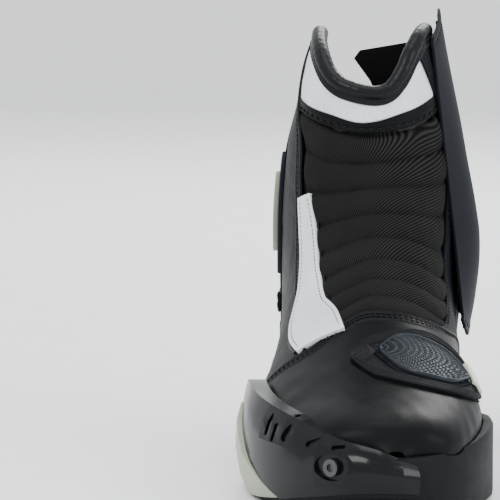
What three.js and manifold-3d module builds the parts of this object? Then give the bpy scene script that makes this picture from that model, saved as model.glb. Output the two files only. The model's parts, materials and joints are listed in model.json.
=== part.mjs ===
// A short motorcycle sport boot for the right foot, open at the collar.
// Millimetres, +Z up, toe towards -Y, inner side of the foot towards +X.
// The origin is on the ground, in the middle of the heel tread.
import * as THREE from 'three';
import { mergeVertices, mergeGeometries } from 'three/addons/utils/BufferGeometryUtils.js';
import Module from 'manifold-3d';

const wasm = await Module();
wasm.setup();

// Overall sizes
const bootLength = 300;
const bootWidth = 100;
const shaftHeight = 220;

// The outlines and sections are drawn for these sizes, and scaled to the ones above.
const nominal = { length: 300, width: 100, height: 220 };
const scaleX = bootWidth / nominal.width;
const scaleY = bootLength / nominal.length;
const scaleZ = shaftHeight / nominal.height;

// Walls and clearances
const liningThickness = 2.2;
const liningGap = 0.9;
const paddingThickness = 0.8;
const paddingGap = 0.9;
const paddingStandoff = 2;
const leatherThickness = 1.4;
const overlayThickness = 1.5;
const plateThickness = 1.7;
const loopThickness = 0.8;
const layerGap = 0.6;
const footbedThickness = 3;
const footbedGap = 0.95;
const seamGap = 0.65;
const meshCell = 10;

// Collar, sole and toe slider
const bindingDiameter = 8;
const treadDepth = 2.5;
const recessGap = 0.75;
const toeSpring = 13;
const archRise = 4;
const sliderThickness = 4.5;
const insertThickness = 6;
const screwDiameter = 8;
const screwHoleGap = 0.35;
const plateHoleDiameter = 3.4;

// Zip
const zipY = 5 * scaleY;
const zipTop = { x: 28.5 * scaleX, z: 203 * scaleZ };
const zipBottom = { x: 45.2 * scaleX, z: 115 * scaleZ };
const zipEnd = { x: 45.2 * scaleX, z: 93 * scaleZ };
const zipChannel = 12;
const tapeThickness = 0.7;
const tapeWidth = 2.2;
const toothHeight = 1.6;
const toothPitch = 9;
const rowGap = 1.6;
const runnerPlate = 1;
const runnerLength = 13;
const runnerWidth = 9;
const runnerGap = 0.35;
const postDiameter = 2.8;
const pullLength = 20;
const pullWidth = 6;
const pullThickness = 1.2;
const gussetThickness = 1.4;

// Closure flap
const flapThickness = 1.5;
const flapGap = 0.6;
const hingeFoot = { y: -29 * scaleY, z: 64 * scaleZ };
const hingeHead = { y: -27 * scaleY, z: 205 * scaleZ };
const tapeStripWidth = 13;

// The wrapping surface of the foot and shaft: sections from the toe (along 0) to the collar (110).
// front and back are the dorsal and plantar (or heel) points as [y, z], wide the half widths
// [outer, inner], middle the x of the section's middle, waist how far up the widest point lies,
// round the exponents of the section's outer, inner and lower parts.
const sections = [
  [0, { front: [-217, 33], back: [-215, 27], wide: [9, 9], middle: 10, waist: 0.5, round: [2, 2, 2] }],
  [4, { front: [-212, 41], back: [-207, 21], wide: [26, 25], middle: 8, waist: 0.45, round: [2.1, 2.2, 2.4] }],
  [10, { front: [-197, 46], back: [-190, 18], wide: [38, 36], middle: 5, waist: 0.38, round: [2, 2.4, 2.8] }],
  [20, { front: [-170, 51], back: [-160, 17], wide: [48, 44], middle: 3, waist: 0.34, round: [1.9, 2.5, 3.2] }],
  [30, { front: [-140, 60], back: [-125, 17], wide: [52, 47], middle: 1, waist: 0.33, round: [1.8, 2.5, 3.4] }],
  [40, { front: [-112, 71], back: [-88, 17], wide: [50, 44], middle: 0, waist: 0.33, round: [1.75, 2.4, 3.4] }],
  [48, { front: [-90, 82], back: [-48, 18], wide: [45, 40], middle: -1, waist: 0.36, round: [1.8, 2.2, 3.4] }],
  [55, { front: [-71, 96], back: [-5, 19], wide: [42, 39], middle: 0, waist: 0.42, round: [2, 2.2, 3.4] }],
  [61, { front: [-57, 112], back: [46, 19.5], wide: [41, 39], middle: 0, waist: 0.45, round: [2.2, 2.2, 3.4] }],
  [66, { front: [-50, 126], back: [67.5, 33], wide: [41, 41], middle: 0, waist: 0.5, round: [2.2, 2.2, 2.9] }],
  [70, { front: [-46, 137], back: [68, 52], wide: [41, 42], middle: 0, waist: 0.5, round: [2.2, 2.2, 2.6] }],
  [75, { front: [-44, 149], back: [68, 76], wide: [41, 42], middle: 0, waist: 0.5, round: [2.2, 2.2, 2.4] }],
  [80, { front: [-43, 161], back: [64, 100], wide: [40, 40.5], middle: 0, waist: 0.5, round: [2.1, 2.1, 2.2] }],
  [86, { front: [-43, 174], back: [62, 126], wide: [38, 37.5], middle: 0, waist: 0.5, round: [2.1, 2.1, 2.1] }],
  [92, { front: [-44, 187], back: [63, 150], wide: [34, 34.5], middle: 0, waist: 0.5, round: [2.1, 2.1, 2.1] }],
  [100, { front: [-46, 204], back: [66, 178], wide: [29, 30.5], middle: 0, waist: 0.5, round: [2.1, 2.1, 2.1] }],
  [110, { front: [-48, 224], back: [69, 206], wide: [22, 24], middle: 0, waist: 0.5, round: [2.1, 2.1, 2.1] }],
];

// Seams run up the boot: the angle around the section at each place along it.
// 0 is the front centre, 90 the inner side, 180 the back, 270 the outer side.
const outerFrontSeam = [[38, -38], [46, -45], [56, -48], [66, -47], [76, -48], [84, -53], [92, -68],
  [102, -88]];
const outerRearSeam = [[54, -118], [60, -104], [68, -90], [80, -88], [90, -94], [100, -104], [108, -112]];
const innerFrontSeam = [[44, 38], [50, 54], [56, 56], [64, 52], [73, 52], [79, 56], [85, 56], [91, 52],
  [96, 44], [102, 30]];
const innerHeelSeam = [[56, 143], [61, 130], [66, 119], [72, 119], [76, 128], [79, 141], [84, 144], [91, 139],
  [100, 139]];
const outerHeelSeam = [[56, 217], [61, 230], [66, 241], [72, 241], [76, 239], [80, 235], [86, 236], [91, 240],
  [98, 233]];

// Edges run across the boot: the place along it at each angle.
const collarEdge = [
  [-112, 107], [-98, 105], [-82, 106], [-66, 103], [-52, 99.5], [-34, 94], [-20, 91], [0, 89], [12, 90], [22, 93.5],
  [34, 99], [50, 103.5], [70, 106], [92, 106.5], [116, 106.5], [130, 104], [138, 99], [150, 95], [164, 92.3],
  [180, 91], [202, 91.2], [220, 93], [234, 97], [248, 101.5], [262, 105], [276, 106],
];
const vampEdge = [[-125, 44], [-112, 43], [-90, 39.5], [-60, 37.5], [-36, 38], [-20, 41.5], [-6, 44.5],
  [12, 45],
  [32, 45.5], [54, 49], [84, 55], [113, 56], [150, 56]];
const collarPanelEdge = [[-90, 96], [-64, 91], [-28, 85], [-4, 82], [22, 85], [48, 90], [60, 93]];
const collarStripEdge = [[-90, 93], [-56, 88], [-20, 81.5], [0, 80], [22, 82], [50, 87.5], [60, 90]];
const heelEdge = [[100, 68], [118, 72], [134, 76], [148, 77.6], [180, 78.2], [202, 78], [220, 77],
  [238, 74.5], [262, 68]];

// ---- lines and surface

function throughPoints(points) {
  const n = points.length;
  const mix = (a, b, f) => {
    if (Array.isArray(a)) return a.map((v, i) => mix(v, b[i], f));
    if (typeof a !== 'object') return f(a, b);
    return Object.fromEntries(Object.keys(a).map((k) => [k, mix(a[k], b[k], f)]));
  };
  return (x) => {
    let i = 0;
    while (i < n - 2 && x > points[i + 1][0]) i++;
    const [x1, v1] = points[i];
    const [x2, v2] = points[i + 1];
    const h = x2 - x1;
    const t = (x - x1) / h;
    if (t < 0 || t > 1) return mix(v1, v2, (a, b) => a + (b - a) * t);
    const [x0, v0] = points[Math.max(i - 1, 0)];
    const [x3, v3] = points[Math.min(i + 2, n - 1)];
    const slopeIn = mix(v0, v2, (a, b) => (b - a) / (x2 - x0));
    const slopeOut = mix(v1, v3, (a, b) => (b - a) / (x3 - x1));
    const ends = mix(v1, v2, (a, b) => a * (2 * t ** 3 - 3 * t * t + 1) + b * (3 * t * t - 2 * t ** 3));
    const bends = mix(slopeIn, slopeOut, (a, b) => h * (a * (t ** 3 - 2 * t * t + t) + b * (t ** 3 - t * t)));
    return mix(ends, bends, (a, b) => a + b);
  };
}

const sectionAt = throughPoints(sections);

function skin(along, around) {
  const { front, back, wide, middle, waist, round } = sectionAt(along);
  const angle = THREE.MathUtils.degToRad(around);
  const c = Math.cos(angle);
  const s = Math.sin(angle);
  const power = 2 / (c < 0 ? round[2] : s < 0 ? round[0] : round[1]);
  const sideways = Math.sign(s) * Math.abs(s) ** power;
  const upwards = Math.sign(c) * Math.abs(c) ** power;
  const height = upwards > 0 ? waist + (1 - waist) * upwards : waist + waist * upwards;
  return new THREE.Vector3(
    (middle + (sideways > 0 ? wide[1] : wide[0]) * sideways) * scaleX,
    (back[0] + (front[0] - back[0]) * height) * scaleY,
    (back[1] + (front[1] - back[1]) * height) * scaleZ,
  );
}

function outwards(along, around) {
  const up = skin(along + 0.4, around).sub(skin(along - 0.4, around));
  const across = skin(along, around + 1.5).sub(skin(along, around - 1.5));
  return across.cross(up).normalize();
}

const off = (along, around, distance) => skin(along, around).addScaledVector(outwards(along, around), distance);

// Moves along the surface by a given vector, and returns the new [along, around].
function walk(along, around, move) {
  const up = skin(along + 0.5, around).sub(skin(along - 0.5, around));
  const across = skin(along, around + 0.5).sub(skin(along, around - 0.5));
  const [uu, aa, ua] = [up.dot(up), across.dot(across), up.dot(across)];
  const [mu, ma] = [move.dot(up), move.dot(across)];
  const det = uu * aa - ua * ua;
  return [along + (mu * aa - ma * ua) / det, around + (ma * uu - mu * ua) / det];
}

// The [along, around] of the inner side's point at a given y and z.
function innerSideAt(y, z) {
  let [along, around] = [75, 85];
  for (let step = 0; step < 40; step++) {
    const miss = new THREE.Vector3(0, y, z).sub(skin(along, around)).setX(0).multiplyScalar(0.5);
    const [toAlong, toAround] = walk(along, around, miss);
    along = THREE.MathUtils.clamp(toAlong, 50, 112);
    around = THREE.MathUtils.clamp(toAround, 25, 130);
  }
  return [along, around];
}

// A seam up the inner side at a fixed y, joined below to the one line where the quarters meet.
const channelSeam = (y) => [[54, 91], [59, 90], ...[84, 105, 130, 150, 170, 190, 208]
  .map((z) => innerSideAt(y, z * scaleZ))];
const zipFrontSeam = channelSeam(zipY - zipChannel / 2);
const zipRearSeam = channelSeam(zipY + zipChannel / 2);

// ---- mesh helpers

// A closed mesh from points and triangles, turned so that its faces point outwards.
function geometryOf(points, faces) {
  const volume = faces.reduce((sum, [a, b, c]) => sum + points[a].dot(points[b].clone().cross(points[c])), 0);
  const geometry = new THREE.BufferGeometry();
  geometry.setAttribute('position', new THREE.Float32BufferAttribute(points.flatMap((p) => p.toArray()), 3));
  geometry.setIndex((volume < 0 ? faces.map(([a, b, c]) => [a, c, b]) : faces).flat());
  return geometry;
}

const quad = (a, b, c, d) => [[a, b, c], [a, c, d]];

// A closed sheet between two grids of points, rows by columns; the second grid is the outer one.
function sheetBetween(innerGrid, outerGrid) {
  const rows = innerGrid.length;
  const columns = innerGrid[0].length;
  const count = rows * columns;
  const at = (r, c) => r * columns + c;
  const faces = [];
  for (let r = 0; r < rows - 1; r++) {
    for (let c = 0; c < columns - 1; c++) {
      faces.push(...quad(at(r, c), at(r + 1, c), at(r + 1, c + 1), at(r, c + 1)));
      faces.push(...quad(count + at(r, c), count + at(r, c + 1), count + at(r + 1, c + 1), count + at(r + 1, c)));
    }
  }
  const rim = [];
  for (let c = 0; c < columns - 1; c++) rim.push(at(0, c));
  for (let r = 0; r < rows - 1; r++) rim.push(at(r, columns - 1));
  for (let c = columns - 1; c > 0; c--) rim.push(at(rows - 1, c));
  for (let r = rows - 1; r > 0; r--) rim.push(at(r, 0));
  rim.forEach((p, i) => {
    const q = rim[(i + 1) % rim.length];
    faces.push(...quad(p, q, count + q, count + p));
  });
  return geometryOf([...innerGrid.flat(), ...outerGrid.flat()], faces);
}

// A closed skin over rings of equal length; both ends are closed from their middle.
function skinOver(rings) {
  const size = rings[0].length;
  const points = rings.flat();
  const faces = [];
  for (let r = 0; r < rings.length - 1; r++) {
    for (let c = 0; c < size; c++) {
      const d = (c + 1) % size;
      faces.push(...quad(r * size + c, r * size + d, (r + 1) * size + d, (r + 1) * size + c));
    }
  }
  const middle = (ring) => ring.reduce((sum, p) => sum.add(p), new THREE.Vector3()).divideScalar(size);
  const last = (rings.length - 1) * size;
  points.push(middle(rings[0]), middle(rings.at(-1)));
  for (let c = 0; c < size; c++) {
    const d = (c + 1) % size;
    faces.push([points.length - 2, d, c], [points.length - 1, last + c, last + d]);
  }
  return geometryOf(points, faces);
}

function bare(geometry) {
  const plain = geometry.clone();
  for (const name of Object.keys(plain.attributes)) if (name !== 'position') plain.deleteAttribute(name);
  return mergeVertices(plain, 1e-4);
}

function solidOf(geometry) {
  const plain = bare(geometry);
  const solid = new wasm.Manifold(new wasm.Mesh({
    numProp: 3,
    vertProperties: new Float32Array(plain.attributes.position.array),
    triVerts: new Uint32Array(plain.index.array),
  }));
  return solid;
}

// A cut can leave loose slivers at a thin end: only the main piece is kept.
function mainPiece(solid) {
  return solid.decompose().reduce((main, piece) => (piece.volume() > main.volume() ? piece : main));
}

function geometryFrom(solid) {
  const { vertProperties, triVerts, numProp } = solid.getMesh();
  const positions = [];
  for (let i = 0; i < vertProperties.length; i += numProp) positions.push(...vertProperties.slice(i, i + 3));
  const geometry = new THREE.BufferGeometry();
  geometry.setAttribute('position', new THREE.Float32BufferAttribute(positions, 3));
  geometry.setIndex([...triVerts]);
  return geometry;
}

const cut = (body, ...tools) => geometryFrom(mainPiece(
  tools.reduce((solid, tool) => solid.subtract(solidOf(tool)), solidOf(body))));
const join = (...parts) => geometryFrom(parts.map(solidOf).reduce((sum, part) => sum.add(part)));

function prism(outline, depth, bevel = 0) {
  const shape = new THREE.Shape(outline.map(([x, y]) => new THREE.Vector2(x, y)));
  const edge = { bevelEnabled: bevel > 0, bevelSize: bevel, bevelThickness: bevel, bevelSegments: 1 };
  const settings = { depth, steps: 1, ...edge };
  return new THREE.ExtrudeGeometry(shape, settings);
}

const box = (w, d, h, x, y, z) => new THREE.BoxGeometry(w, d, h).translate(x, y, z);

// ---- the boot's group and its finishes

const boot = new THREE.Group();
const finishes = {
  leather: { color: 0x24282b, roughness: 0.5 },
  grainLeather: { color: 0x2c3134, roughness: 0.55 },
  flapLeather: { color: 0x2b3138, roughness: 0.6 },
  bindingLeather: { color: 0x171a1d, roughness: 0.35 },
  whiteLeather: { color: 0xe6ebee, roughness: 0.45 },
  stretch: { color: 0x1a1b1f, roughness: 0.9 },
  textile: { color: 0x131215, roughness: 0.95 },
  foam: { color: 0x303236, roughness: 1 },
  board: { color: 0x8a7a62, roughness: 0.9 },
  steel: { color: 0x9aa0a6, roughness: 0.35, metalness: 1 },
  rubber: { color: 0x22272b, roughness: 0.75 },
  palePlastic: { color: 0xafb6a0, roughness: 0.5 },
  shellPlastic: { color: 0x2b2e31, roughness: 0.6 },
  glossPlastic: { color: 0x0b0c0d, roughness: 0.15 },
  bluePlastic: { color: 0x39434b, roughness: 0.5 },
  hook: { color: 0x0d0d0e, roughness: 1 },
  coil: { color: 0x101113, roughness: 0.5 },
};

function add(name, geometry, finish, parent = boot) {
  const mesh = new THREE.Mesh(geometry, new THREE.MeshStandardMaterial({ metalness: 0, ...finishes[finish] }));
  mesh.name = name;
  parent.add(mesh);
  return mesh;
}

// ---- panels on the surface

const level = (edge) => (typeof edge === 'number' ? () => edge : throughPoints(edge));

// The grid of [along, around] places inside two seams and two edges, in columns from left to right.
function placesInside({ left, right, bottom, top, cell = meshCell, inset = seamGap }) {
  const [leftAt, rightAt, bottomAt, topAt] = [left, right, bottom, top].map(level);
  const place = (u, v) => {
    let along = 0.5 * (bottomAt(leftAt(60)) + topAt(rightAt(60)));
    let around = 0.5 * (leftAt(along) + rightAt(along));
    for (let step = 0; step < 80; step++) {
      around += 0.35 * (THREE.MathUtils.lerp(leftAt(along), rightAt(along), u) - around);
      along += 0.35 * (THREE.MathUtils.lerp(bottomAt(around), topAt(around), v) - along);
    }
    return [along, around];
  };
  const span = (places) => places.slice(1).reduce(
    (sum, p, i) => sum + skin(...p).distanceTo(skin(...places[i])), 0);
  const across = Math.max(...[0, 0.5, 1].map((v) => span([0, 0.25, 0.5, 0.75, 1].map((u) => place(u, v)))));
  const upwards = Math.max(...[0, 0.5, 1].map((u) => span([0, 0.25, 0.5, 0.75, 1].map((v) => place(u, v)))));
  const columns = Math.max(2, Math.ceil(across / cell));
  const rows = Math.max(2, Math.ceil(upwards / cell));
  const pull = (t, length) => THREE.MathUtils.lerp(inset / length, 1 - inset / length, t);
  const grid = [];
  for (let c = 0; c <= columns; c++) {
    grid.push([]);
    for (let r = 0; r <= rows; r++) grid[c].push(place(pull(c / columns, across), pull(r / rows, upwards)));
  }
  return grid;
}

function panel(name, finish, layer, { cutters = [], ...bounds }) {
  const grid = placesInside(bounds);
  const lay = (distance) => grid.map((column) => column.map(([along, around]) => off(along, around, distance)));
  const sheet = sheetBetween(lay(layer[0]), lay(layer[1]));
  return add(name, cutters.length ? cut(sheet, ...cutters) : sheet, finish);
}

// A band along a path of [along, around, half width] points.
function band(name, finish, layer, path, { steps = 12, across = 3 } = {}) {
  const pathAt = throughPoints(path.map((point, i) => [i / (path.length - 1), point]));
  const grid = [];
  for (let i = 0; i <= steps; i++) {
    const t = i / steps;
    const [along, around, half] = pathAt(t);
    const ahead = pathAt(t + 0.01);
    const behind = pathAt(t - 0.01);
    const heading = skin(ahead[0], ahead[1]).sub(skin(behind[0], behind[1])).normalize();
    const side = new THREE.Vector3().crossVectors(heading, outwards(along, around)).normalize();
    grid.push([]);
    for (let j = -across; j <= across; j++) {
      grid[i].push(walk(along, around, side.clone().multiplyScalar(-half * j / across)));
    }
  }
  const lay = (distance) => grid.map((row) => row.map(([along, around]) => off(along, around, distance)));
  return add(name, sheetBetween(lay(layer[0]), lay(layer[1])), finish);
}

// Layers, from the lining's outer face outwards
const liningFace = -0.2;
const paddingLayer = [liningFace + liningGap, liningFace + liningGap + paddingThickness];
const leatherLayer = [paddingLayer[1] + paddingGap, paddingLayer[1] + paddingGap + leatherThickness];
const overlayLayer = [leatherLayer[1] + layerGap, leatherLayer[1] + layerGap + overlayThickness];
const plateLayer = [overlayLayer[1] + layerGap, overlayLayer[1] + layerGap + plateThickness];

// ---- inside

function wholeRing(along, distance, sides) {
  const ring = [];
  for (let i = 0; i < sides; i++) ring.push(off(along, 360 * i / sides, distance));
  return ring;
}

const collarAt = (around) => throughPoints(collarEdge)(around > 270 ? around - 360 : around);
const toeStart = -1.6;

// The padded roll round the collar, from the rear of the zip round the back, outer side and front to the zip.
const rollStart = 100;
const rollEnd = 432;
const rollOffset = 1.2;
const rollPoints = 24;
const rollGap = 0.6;

function collarRoll(diameter, steps, sides) {
  const points = [];
  for (let i = 0; i <= rollPoints; i++) {
    const around = THREE.MathUtils.lerp(rollStart, rollEnd, i / rollPoints);
    points.push(off(collarAt(around % 360), around, rollOffset));
  }
  const section = new THREE.Shape(Array.from({ length: sides }, (_, i) => {
    const angle = 2 * Math.PI * (i + 0.5) / sides;
    return new THREE.Vector2(Math.cos(angle), Math.sin(angle)).multiplyScalar(diameter / 2);
  }));
  const extrudePath = new THREE.CatmullRomCurve3(points);
  return new THREE.ExtrudeGeometry(section, { steps, bevelEnabled: false, extrudePath });
}

const rollSteps = 36;
const collarGroove = collarRoll(bindingDiameter + 2 * rollGap, rollSteps, 7);

function lining() {
  const ringSides = 26;
  const wall = (distance, rowsUp) => {
    const rings = [];
    for (let r = 0; r <= rowsUp; r++) {
      const ring = [];
      for (let i = 0; i < ringSides; i++) {
        const around = 360 * i / ringSides;
        const along = THREE.MathUtils.lerp(toeStart, collarAt(around), (r / rowsUp) ** 1.15);
        ring.push(off(along, around, distance));
      }
      rings.push(ring);
    }
    return rings;
  };
  const outer = wall(liningFace, 30);
  const inner = wall(liningFace - liningThickness, 14);
  add('lining', cut(skinOver([...outer, ...inner.reverse().slice(0, -1)]), collarGroove), 'textile');
  add('collar_binding', collarRoll(bindingDiameter, rollSteps, 7), 'bindingLeather');
}

function insides() {
  panel('insole_board', 'board', paddingLayer, { left: 136, right: 224, bottom: 4, top: 60, cell: 16 });
  const footbedTop = liningFace - liningThickness - footbedGap;
  panel('footbed', 'foam', [footbedTop - footbedThickness, footbedTop],
    { left: 148, right: 212, bottom: 12, top: 56, cell: 17 });
  panel('shank', 'steel', leatherLayer, { left: 171, right: 189, bottom: 40, top: 58.5, cell: 14 });
  panel('toe_puff', 'shellPlastic', paddingLayer, { left: -84, right: 84, bottom: 3, top: 26, cell: 12 });
  panel('instep_padding', 'foam', paddingLayer, { left: -46, right: 46, bottom: 27, top: 79, cell: 12 });
  panel('ankle_pad_inner', 'foam', paddingLayer, { left: 48, right: 76, bottom: 57, top: 80 });
  panel('ankle_pad_outer', 'foam', paddingLayer, { left: -112, right: -48, bottom: 57, top: 80, cell: 12 });
  panel('heel_stiffener', 'shellPlastic', paddingLayer,
    { left: 121, right: 239, bottom: 62.5, top: 73, cell: 9 });
  // One step along the shaft is about 2 mm high at the collar.
  const underRoll = (bindingDiameter / 2 + paddingStandoff) / 2;
  const belowBinding = collarEdge.map(([around, along]) => [around, along - underRoll]);
  panel('collar_padding_front', 'foam', paddingLayer,
    { left: -86, right: zipFrontSeam, bottom: 81, top: belowBinding, cell: 11 });
  panel('collar_padding_rear', 'foam', paddingLayer,
    { left: 104, right: 264, bottom: 82, top: belowBinding, cell: 12 });
}

// ---- sole

const soleOutline = [
  [10, -229], [37, -212], [52, -180], [57, -142], [54, -100], [46, -55], [43, -10], [43, 25], [36, 57], [19, 73],
  [0, 77], [-19, 73], [-36, 57], [-43, 25], [-45, -10], [-50, -50], [-57, -95], [-58, -130], [-51, -170], [-32, -204],
  [-9, -225],
];
const rimHeight = throughPoints([[-229, 29], [-190, 32], [-140, 35], [-90, 31], [-40, 27], [20, 26], [60, 23],
  [77, 20]]);
const solePoints = 48;
const soleCurve = new THREE.CatmullRomCurve3(
  soleOutline.map(([x, y]) => new THREE.Vector3(x * scaleX, y * scaleY, 0)), true, 'centripetal');

function undersideAt(y) {
  const toe = Math.max(0, (-150 * scaleY - y) / (79 * scaleY));
  const arch = THREE.MathUtils.clamp((y + 88 * scaleY) / (70 * scaleY), 0, 1);
  return toeSpring * toe ** 1.8 + archRise * Math.sin(Math.PI * arch) ** 2;
}

const soleRing = (grow, height, count = solePoints) => Array.from({ length: count }, (_, i) => {
  const point = soleCurve.getPoint(i / count);
  const tangent = soleCurve.getTangent(i / count);
  point.addScaledVector(new THREE.Vector3(tangent.y, -tangent.x, 0), grow);
  return point.setZ(height(point.y));
});

// A solid over rings that follow the sole's outline; caps run straight across from side to side.
function soleStack(rings) {
  const size = rings[0].length;
  const faces = [];
  for (let r = 0; r < rings.length - 1; r++) {
    for (let c = 0; c < size; c++) {
      const d = (c + 1) % size;
      faces.push(...quad(r * size + c, r * size + d, (r + 1) * size + d, (r + 1) * size + c));
    }
  }
  const top = (rings.length - 1) * size;
  for (let c = 0; c < size / 2; c++) {
    const [a, b, d, e] = [c, c + 1, (size - c) % size, size - c - 1];
    if (b !== e) faces.push([b, a, e], [top + a, top + b, top + e]);
    if (a !== d) faces.push([a, d, e], [top + d, top + a, top + e]);
  }
  return geometryOf(rings.flat(), faces);
}

function footSolid(distance) {
  const rings = [];
  for (let along = toeStart; along < 84; along += along < 12 ? 1.7 : along < 57 ? 4 : along < 68 ? 1.5 : 6) {
    rings.push(wholeRing(along, distance, 32));
  }
  return skinOver(rings);
}

const rimTop = (y) => rimHeight(y / scaleY) * scaleZ;
const footInSole = footSolid(leatherLayer[1] + recessGap);

// The slider's screw stands square to the sole's wall: local +Y points out of the wall.
const screwShare = 1 - 0.06;
const screwHeight = 25;

function alongScrew(geometry) {
  const tangent = soleCurve.getTangent(screwShare);
  const facing = new THREE.Vector3(tangent.y, -tangent.x, 0).normalize();
  const turn = new THREE.Quaternion().setFromUnitVectors(new THREE.Vector3(0, 1, 0), facing);
  return geometry.applyQuaternion(turn).translate(...soleCurve.getPoint(screwShare).setZ(screwHeight * scaleZ));
}

const rod = (radius, from, to, sides = 16) => alongScrew(
  new THREE.CylinderGeometry(radius, radius, to - from, sides).translate(0, (from + to) / 2, 0));
const slotFloor = 2.4;
const slotSize = { wide: 19, high: 12 };
const shaftRadius = 1.9;
const insertRadius = 3.4;
const insertDepth = 4.2;

function screwParts() {
  const headRadius = screwDiameter / 2;
  const head = rod(headRadius, slotFloor + 0.3, slotFloor + 2.6, 20);
  const socket = rod(headRadius * 0.5, slotFloor + 1.2, slotFloor + 4, 6);
  const shaft = rod(shaftRadius, -insertDepth + 0.4, slotFloor + 1);
  const screw = solidOf(head).add(solidOf(shaft)).subtract(solidOf(socket));
  add('slider_screw', geometryFrom(screw), 'steel');
  const bore = rod(shaftRadius + screwHoleGap, -insertDepth - 1, 1);
  add('threaded_insert', cut(rod(insertRadius, -insertDepth, -0.3), bore), 'steel');
}

function outsole() {
  const bevel = 2;
  const blank = soleStack([
    soleRing(-bevel, undersideAt),
    soleRing(0, (y) => undersideAt(y) + bevel),
    soleRing(0, (y) => rimTop(y) - bevel),
    soleRing(-bevel / 2, rimTop),
  ]);
  const grooves = [-196, -178, -160, -142, -124, -106].map((y, i) => {
    const depth = treadDepth + undersideAt(y * scaleY);
    return box((70 - 5 * Math.abs(i - 3)) * scaleX, 4, depth * 2, 0, y * scaleY, 0);
  });
  const pocket = rod(insertRadius + screwHoleGap, -insertDepth - 0.4, 3);
  add('outsole', cut(blank, footInSole, ...grooves, pocket), 'rubber');
}

// ---- toe slider and pale side insert

// The slanted plane between the slider and the insert, as a wide block behind or before it.
const slantFoot = [-197, 4];
const slantHead = [-116, 50];

function slantBlock(gap, behind) {
  const [y0, z0] = slantFoot;
  const [y1, z1] = slantHead;
  const rise = (z1 - z0) / (y1 - y0);
  const [low, high] = [y0 - 60, y1 + 60].map((y) => [y * scaleY + gap, (z0 + rise * (y - y0)) * scaleZ]);
  const far = behind ? [high[0] + 200, low[1] - 200] : [low[0] - 200, high[1] + 200];
  const outline = behind ? [low, far, high] : [low, high, far];
  return prism(outline, 400).rotateX(Math.PI / 2).rotateZ(Math.PI / 2).translate(-200, 0, 0);
}

// A wall that stands round part of the sole's outline, from one share of it to another.
function sideWall(from, to, steps, profile) {
  const grid = { inner: [], outer: [] };
  for (let i = 0; i <= steps; i++) {
    const share = THREE.MathUtils.lerp(from, to, i / steps);
    const point = soleCurve.getPoint((share + 1) % 1);
    const tangent = soleCurve.getTangent((share + 1) % 1);
    const side = new THREE.Vector3(tangent.y, -tangent.x, 0);
    const rows = profile(i / steps, point.y);
    grid.inner.push(rows.map(([, , z]) => point.clone().addScaledVector(side, -9).setZ(z)));
    grid.outer.push(rows.map(([, out, z]) => point.clone().addScaledVector(side, out).setZ(z)));
  }
  return sheetBetween(grid.inner, grid.outer);
}

const footUnderSlider = footSolid(overlayLayer[0]);
const soleUnderSlider = soleStack([
  soleRing(0.4, (y) => undersideAt(y) - 6),
  soleRing(0.4, (y) => rimTop(y) + 0.4),
]);

const sliderTop = throughPoints([[0, 27], [0.12, 33], [0.3, 37], [0.55, 46], [0.8, 51], [1, 48]]);

function toeParts() {
  const sliderBlank = sideWall(0.018, -0.235, 22, (t, y) => {
    const foot = undersideAt(y) + 1.5;
    const head = sliderTop(t) * scaleZ;
    const bulge = sliderThickness * Math.sin(Math.PI * THREE.MathUtils.clamp(0.12 + 0.95 * t, 0, 1)) ** 0.4;
    const heights = [0, 0.15, 0.4, 0.65, 0.85, 1].map((h) => THREE.MathUtils.lerp(foot, head, h));
    const outs = [0.35, 0.75, 1, 0.85, 0.35, -0.55];
    return heights.map((z, i) => [0, 0.6 + bulge * outs[i], z]);
  });
  const hole = rod(shaftRadius + screwHoleGap, -12, 12);
  const slot = alongScrew(new THREE.CylinderGeometry(slotSize.high / 2, slotSize.high / 2, 12, 20)
    .scale(slotSize.wide / slotSize.high, 1, 1).translate(0, slotFloor + 6, 0));
  const slider = cut(sliderBlank, footUnderSlider, soleUnderSlider, slantBlock(-0.2, true), hole, slot);
  add('toe_slider', slider, 'glossPlastic');
  const insertBlank = sideWall(-0.1, -0.25, 14, (t, y) => {
    const foot = undersideAt(y) + 2;
    const head = THREE.MathUtils.lerp(49, 34, t ** 2) * scaleZ;
    const bulge = insertThickness * Math.sin(Math.PI * THREE.MathUtils.clamp(0.3 + 0.72 * t, 0, 1)) ** 0.6;
    const heights = [0, 0.15, 0.45, 0.75, 0.92, 1].map((h) => THREE.MathUtils.lerp(foot, head, h));
    const outs = [0.1, 0.6, 1, 0.9, 0.5, 0];
    return heights.map((z, i) => [0, 0.5 + bulge * outs[i], z]);
  });
  const insert = cut(insertBlank, footUnderSlider, soleUnderSlider, slantBlock(0.2, false));
  add('sole_insert', insert, 'palePlastic');
}

// ---- upper panels

const lastingInner = [[-2, 114], [44, 114], [50, 122], [56, 140], [58, 143]];
const lastingOuter = lastingInner.map(([along, around]) => [along, -around]);

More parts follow.
